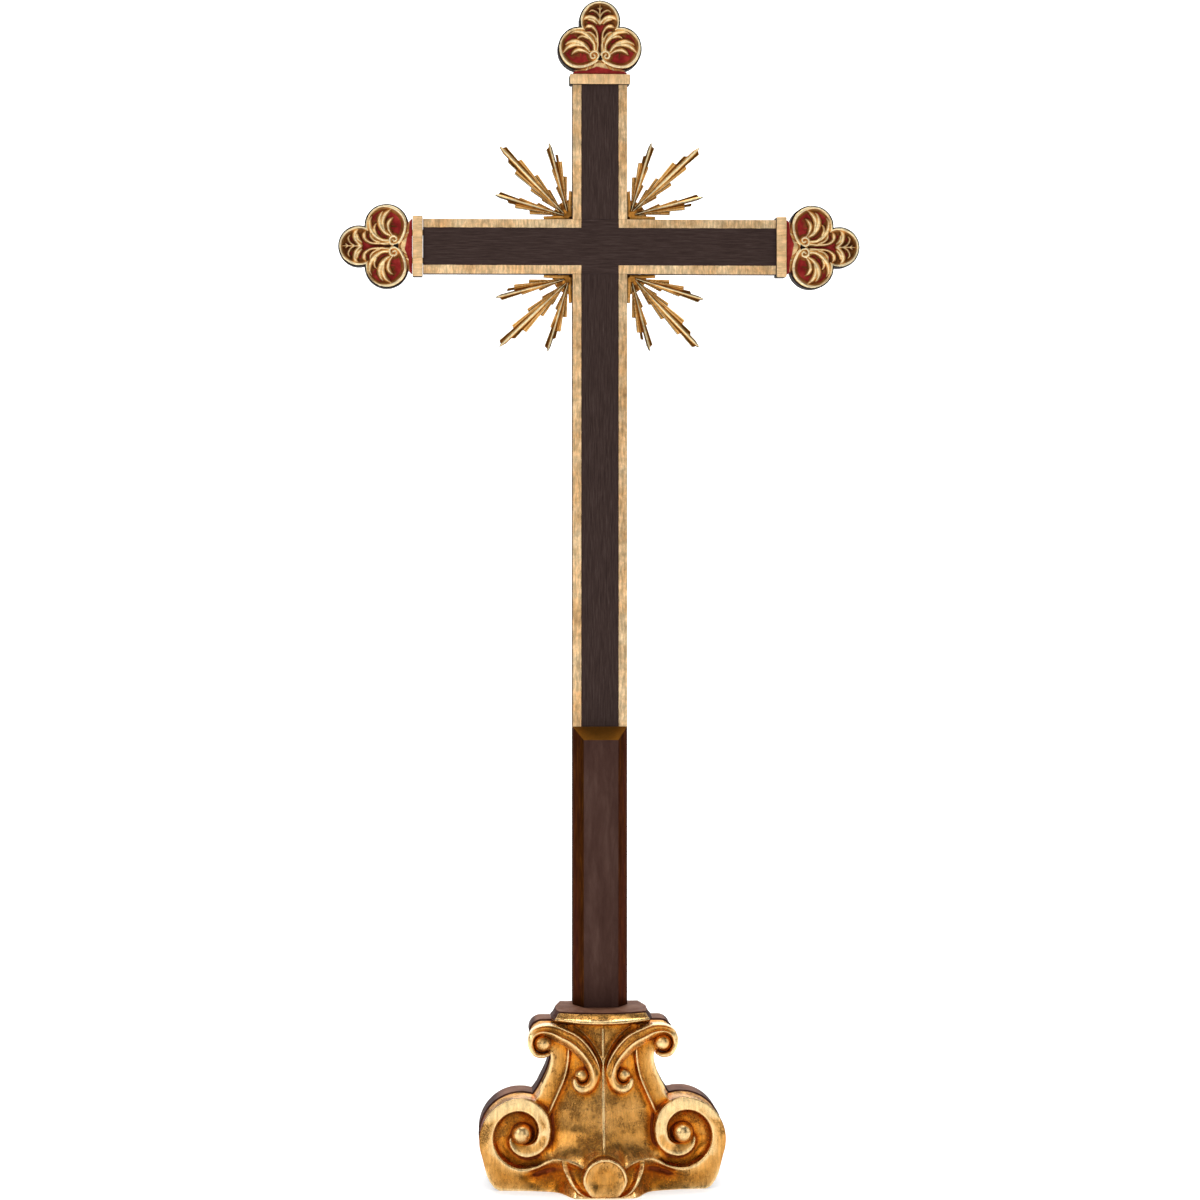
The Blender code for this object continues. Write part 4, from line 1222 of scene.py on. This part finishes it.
# Strips that fan out of a corner: origin, low and high angle, length at both, depth below the
# highest ridge, and the kind: a spear has its ridge in the middle, a pleat at its outer edge.
FANS = [
    ((6.5, 9), 43.75, [(40.6, 42.7, 87.5, 89, 4.6), (45, 47.6, 78, 75, 4.6),
                         (37.9, 42.2, 68.3, 69.6, 1.6), (33.5, 38.6, 46.5, 47.3, 2.2),
                         (28.9, 34, 27.2, 28.4, 4), (45.2, 51.4, 64, 63, 1.6),
                         (50.6, 55.9, 41, 40.2, 2.2), (55, 59.5, 26, 25, 4)]),
    ((4.5, 9), 73.4, [(69.6, 72.4, 67, 68.5, 4.6), (75, 77.7, 58, 56.3, 4.6),
                        (67.9, 72, 47, 47.8, 1.6), (63, 68.5, 28, 29, 3.4),
                        (74.6, 81.6, 49.6, 49, 1.6), (80.6, 88.4, 34.4, 33.8, 2.2)]),
    ((8.6, 5.6), 14.6, [(15.8, 18.4, 66.5, 65, 4.6), (8.6, 11.4, 57, 58, 4.6),
                        (16, 20.1, 45, 44, 1.6), (19.5, 25, 27, 26, 3.4),
                        (5.4, 12.4, 50, 50.6, 1.6), (-0.6, 6.4, 34.7, 35.2, 2.2)]),
]
SPEARS = [(91.2, 2.4), (70.4, 1.9), (69.5, 1.9)]        # length and half width
HUGGING = [[(0.4, 3), (4.6, 3), (3.4, 29), (0.4, 28.4)],
           [(3, 0.4), (28.4, 0.4), (29, 3.4), (3, 4.6)]]    # short strips along both beams
# The roots' last two numbers are their depth and their painted shade.
ROOTS = [((1, 1), 19, 4, 0.62), ((5.5, 6.5), 5, 2.4, 0.2)]     # web and knot at the corner
RAY_DEPTH = 9
RAY_GAP = 0.3                           # between a cluster and the beams


def polar_point(origin, angle, reach):
    turn = math.radians(angle)
    return origin[0] + reach * math.cos(turn), origin[1] + reach * math.sin(turn)


def ray_parts(x, z):
    """Outline distance, height and painted shade (-1 a lit crest, 1 a shaded valley) of every strip of
    the fan.
    """
    flat = 0 * (x + z)
    for (across, up), radius, depth, shade in ROOTS:
        yield np.hypot(x - across, z - up) - radius, flat - depth, flat + shade
    for outline in HUGGING:
        yield outline_distance(x, z, outline), flat - 2.6, flat + 0.1
    for (origin, axis, strips), (reach, half) in zip(FANS, SPEARS):
        around = np.degrees(np.arctan2(z - origin[1], x - origin[0]))
        for low, high, low_reach, high_reach, depth in strips:
            outline = [origin, polar_point(origin, low, low_reach),
                       polar_point(origin, high, high_reach)]
            across = unit((around - low) / (high - low))
            across = across if low > axis - 2 and high > axis else 1 - across
            folds = max(1, round((high - low) / 2.6))
            fold = np.abs(2 * ((across * folds) % 1) - 1)
            height = -0.75 * depth - 1.5 * (1 - across) ** 1.4 - 0.9 * (1 - fold)
            # painted shade: darker in the valleys between folds and on deeper strips, a painted
            # highlight on the crests
            shade = 0.9 - 0.9 * across - 0.7 * fold + 0.06 * depth
            yield outline_distance(x, z, outline), height, shade
        path = [(*polar_point(origin, axis, 0), 0.9), (*polar_point(origin, axis, reach * 0.5), half),
                (*polar_point(origin, axis, reach * 0.93), half * 0.9),
                (*polar_point(origin, axis, reach), 0.7)]
        past, side, _ = ribbon(x, z, path)
        yield past, -1.9 * np.abs(side) - 0.3, 1.3 * np.abs(side) - 0.8


def ray_field(x, y, z, step):
    """The fan in the quarter above and to the right of its corner; depths run back from 0."""
    solid = np.float32(99)
    for outline, height, _ in ray_parts(x, z):
        solid = np.minimum(solid, relief(outline, height, y, RAY_DEPTH, step, 0.3))
    return np.maximum(solid, np.maximum(RAY_GAP - x, RAY_GAP - z))


def ray_shade(x, z):
    """The painted shade of the foremost strip at each place: highlight on crests, shade in valleys."""
    top = np.full(x.shape, NOWHERE)
    shade = np.zeros(x.shape)
    for outline, height, local in ray_parts(x, z):
        better = (outline < 0.2) & (height > top)
        top = np.where(better, height, top)
        shade = np.where(better, local, shade)
    return shade


def add_rays(material):
    step = 0.4
    axes = grid((RAY_GAP, 0, RAY_GAP), (80, RAY_DEPTH, 80), step)
    front = box_mm("ray_cluster_upper_right")[0][1]
    master = net_piece("ray_master", ray_field(*axes, step), axes, 32000, shift=front)
    points, normals = points_and_normals(master)
    sunk = points[:, 1] - front
    facing = ease(-normals[:, 1], 0.3, 0.6)
    set_attribute(master, "gilt", facing * (1 - ease(sunk, 4.6, 5.4)))
    # hollow here is the rays' painted highlight on crests and painted shade in valleys
    set_attribute(master, "hollow", np.clip(ray_shade(points[:, 0], points[:, 2]), -0.8, 0.8))
    for corner, right, up, turn in (("upper_right", 1, 1, 0), ("lower_right", 1, -1, 90),
                                    ("lower_left", -1, -1, 180), ("upper_left", -1, 1, 270)):
        place = Vector((right * HALF_BEAM * MM, 0, (ARM_CENTRE_Z + up * HALF_BEAM) * MM))
        place = Matrix.Translation(place) @ Matrix.Rotation(math.radians(turn), 4, "Y")
        place_copy(master, "rays_" + corner, "ray_cluster_" + corner, place, material)
    bpy.data.objects.remove(master)


# ---- carried-over fixings


def turned_wood():
    """Plain beech: fibres along the dowel, small pores and a broad drift of tone."""
    shader = Shader("turned_beech")
    fibre = shader.noise(90, 5, 0.65, 0.2, shader.stretched((9, 9, 1.5)))
    pores = shader.noise(700, 3, 0.7, 0, shader.stretched((4, 4, 0.6)))
    tone = shader.ramp(fibre, [(0.3, (0.36, 0.2, 0.1)), (0.52, (0.52, 0.33, 0.18)),
                               (0.72, (0.62, 0.42, 0.25))])
    tone = shader.blend(shader.span(pores, 0.6, 0.7, 0, 0.6), tone, (0.22, 0.11, 0.05))
    shader.set(Base_Color=tone, Roughness=shader.span(fibre, 0.3, 0.7, 0.52, 0.7))
    shader.set(Normal=shader.bump(shader.plus(fibre, pores), 0.00008, 0.8))
    return shader.material


def dull_zinc():
    """Zinc plate: cloudy spangle, fine scratches and a duller bloom in places."""
    shader = Shader("dull_zinc")
    spangle = shader.cells(420)
    bloom = shader.noise(160, 4, 0.6)
    scratch = shader.noise(900, 3, 0.7, 0, shader.stretched((0.2, 3, 3)))
    tone = shader.ramp(shader.plus(shader.times(spangle, 0.4), bloom), [
        (0.35, (0.4, 0.41, 0.43)), (0.6, (0.55, 0.56, 0.58)), (0.85, (0.66, 0.67, 0.69))])
    shader.set(Base_Color=tone, Metallic=shader.span(bloom, 0.5, 0.75, 1, 0.8))
    shader.set(Roughness=shader.span(bloom, 0.3, 0.7, 0.28, 0.48))
    shader.set(Normal=shader.bump(scratch, 0.00003, 0.7))
    return shader.material


def dress_fixings():
    """Give every dowel, peg, pin and the tie rod a real finish in its own slot."""
    wood, metal = turned_wood(), dull_zinc()
    for name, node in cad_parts.items():
        if "dowel" in name or "peg" in name:
            finish = wood
        elif name.startswith(("ray_pin", "tie_rod", "rod_")):
            finish = metal
        else:
            continue
        for slot in node.material_slots:
            slot.material = finish


# ---- studio


EYE_LEVEL = 0.713                       # metres: the camera looks level from here
CAMERA_PLACE = (-0.178, -3.357, EYE_LEVEL)
LENS, DOWNWARD_SHIFT = 102.1, -0.1133
WALL_Y, WALL_TOP, SWEEP_RADIUS, SWEEP_REACH = 4.8, 12, 1.4, 25
WORLD_LIGHT, PAPER_GLOW = 0.14, 0.45
LIGHTS = [                              # name, place, target, size in metres, watts
    ("front", (-0.3, -4.3, 1.7), (0, 0, 0.6), (2.4, 3), 23),
    ("key", (-2.6, -2, 2.1), (0, 0, 0.5), (2.2, 2.6), 36),
    ("fill", (2.8, -1.5, 1.4), (0, 0, 0.5), (1.6, 2.4), 14),
    ("top", (0, -0.5, 3), (0, 0, 0.4), (2, 1.4), 15),
    ("wall", (0, 1.6, 5), (0, WALL_Y, 1), (6, 1.2), 240),
    ("rear", (1.2, 2.6, 2.4), (0, 0, 0.6), (2, 2), 12),
]


def aim(item, target):
    away = Vector(target) - item.location
    item.rotation_euler = away.to_track_quat("-Z", "Y").to_euler()


def set_view():
    """Plain display of the light values, without a film curve."""
    view = bpy.context.scene.view_settings
    view.view_transform = "Standard"
    view.look = "None"
    view.exposure = 0


def add_camera():
    camera = add_object("camera", bpy.data.cameras.new("camera"))
    camera.location = CAMERA_PLACE
    camera.data.lens = LENS
    camera.data.sensor_width = 36
    camera.data.clip_end = 50
    camera.data.dof.use_dof = False
    camera.data.shift_y = DOWNWARD_SHIFT
    aim(camera, (0, BEAM_FRONT * MM, EYE_LEVEL))
    bpy.context.scene.camera = camera


def add_light(name, place, target, size, power):
    data = bpy.data.lights.new(name, "AREA")
    data.shape = "RECTANGLE"
    data.size, data.size_y = size
    data.energy = power
    light = add_object(name, data)
    light.location = place
    aim(light, target)


def add_sweep():
    """A pale floor that curves up into the wall behind."""
    bend = (WALL_Y - SWEEP_RADIUS, SWEEP_RADIUS)
    profile = [(-SWEEP_REACH, 0), (bend[0], 0)] + arc(bend, SWEEP_RADIUS, -80, 0, 10)
    profile.append((WALL_Y, WALL_TOP))
    shape = bmesh.new()
    rows = [[shape.verts.new((x, y, z)) for x in (-SWEEP_REACH, SWEEP_REACH)] for y, z in profile]
    for low, high in zip(rows, rows[1:]):
        shape.faces.new((low[0], low[1], high[1], high[0]))
    mesh = bpy.data.meshes.new("sweep")
    shape.to_mesh(mesh)
    shape.free()
    mesh.shade_smooth()
    sweep = add_object("sweep", mesh)
    shader = Shader("studio_paper")
    fibre = shader.noise(260, 4)
    shader.set(Base_Color=shader.blend(fibre, (0.86, 0.86, 0.86), (0.9, 0.9, 0.9)),
               Roughness=0.9, Normal=shader.bump(fibre, 0.0002, 0.3),
               Emission_Color=(1, 1, 1, 1), Emission_Strength=PAPER_GLOW)
    mesh.materials.append(shader.material)


def add_studio():
    world = bpy.data.worlds.new("studio")
    bpy.context.scene.world = world
    world.use_nodes = True
    background = world.node_tree.nodes["Background"]
    background.inputs["Color"].default_value = (1, 1, 1, 1)
    background.inputs["Strength"].default_value = WORLD_LIGHT
    for light in LIGHTS:
        add_light(*light)


# ---- build

add_base(gilded("base_leaf", BASE_LEAF_SHADING, base_paint, wear=1.5, soft=0.25))
add_beams(
    gilded("upright_panel", PALE_LEAF, brushed_paint((14, 14, 0.7)), 0.6, 0.45, border_mask,
           0.0003, 1.5, 0.4),
    gilded("arm_panel", PALE_LEAF, brushed_paint((0.7, 14, 14)), 0.6, 0.45, border_mask,
           0.0003, 1.5, 0.4),
)
add_cheek(cheek_paint())
add_collars(gilded("collar_leaf", PALE_LEAF, NIGHT, 0.6, 0.42, facing_mask, 0.0005, 0.9, 0.4))
add_finials(gilded("finial_leaf", CARVED_LEAF_SHADING, finial_coat, 0.2, 0.36, None, 0.0004))
add_rays(gilded("ray_leaf", RAY_LEAF_SHADING, NIGHT, 0.3, 0.34, None, 0.0004))
set_view()
add_camera()
add_studio()
add_sweep()
dress_fixings()
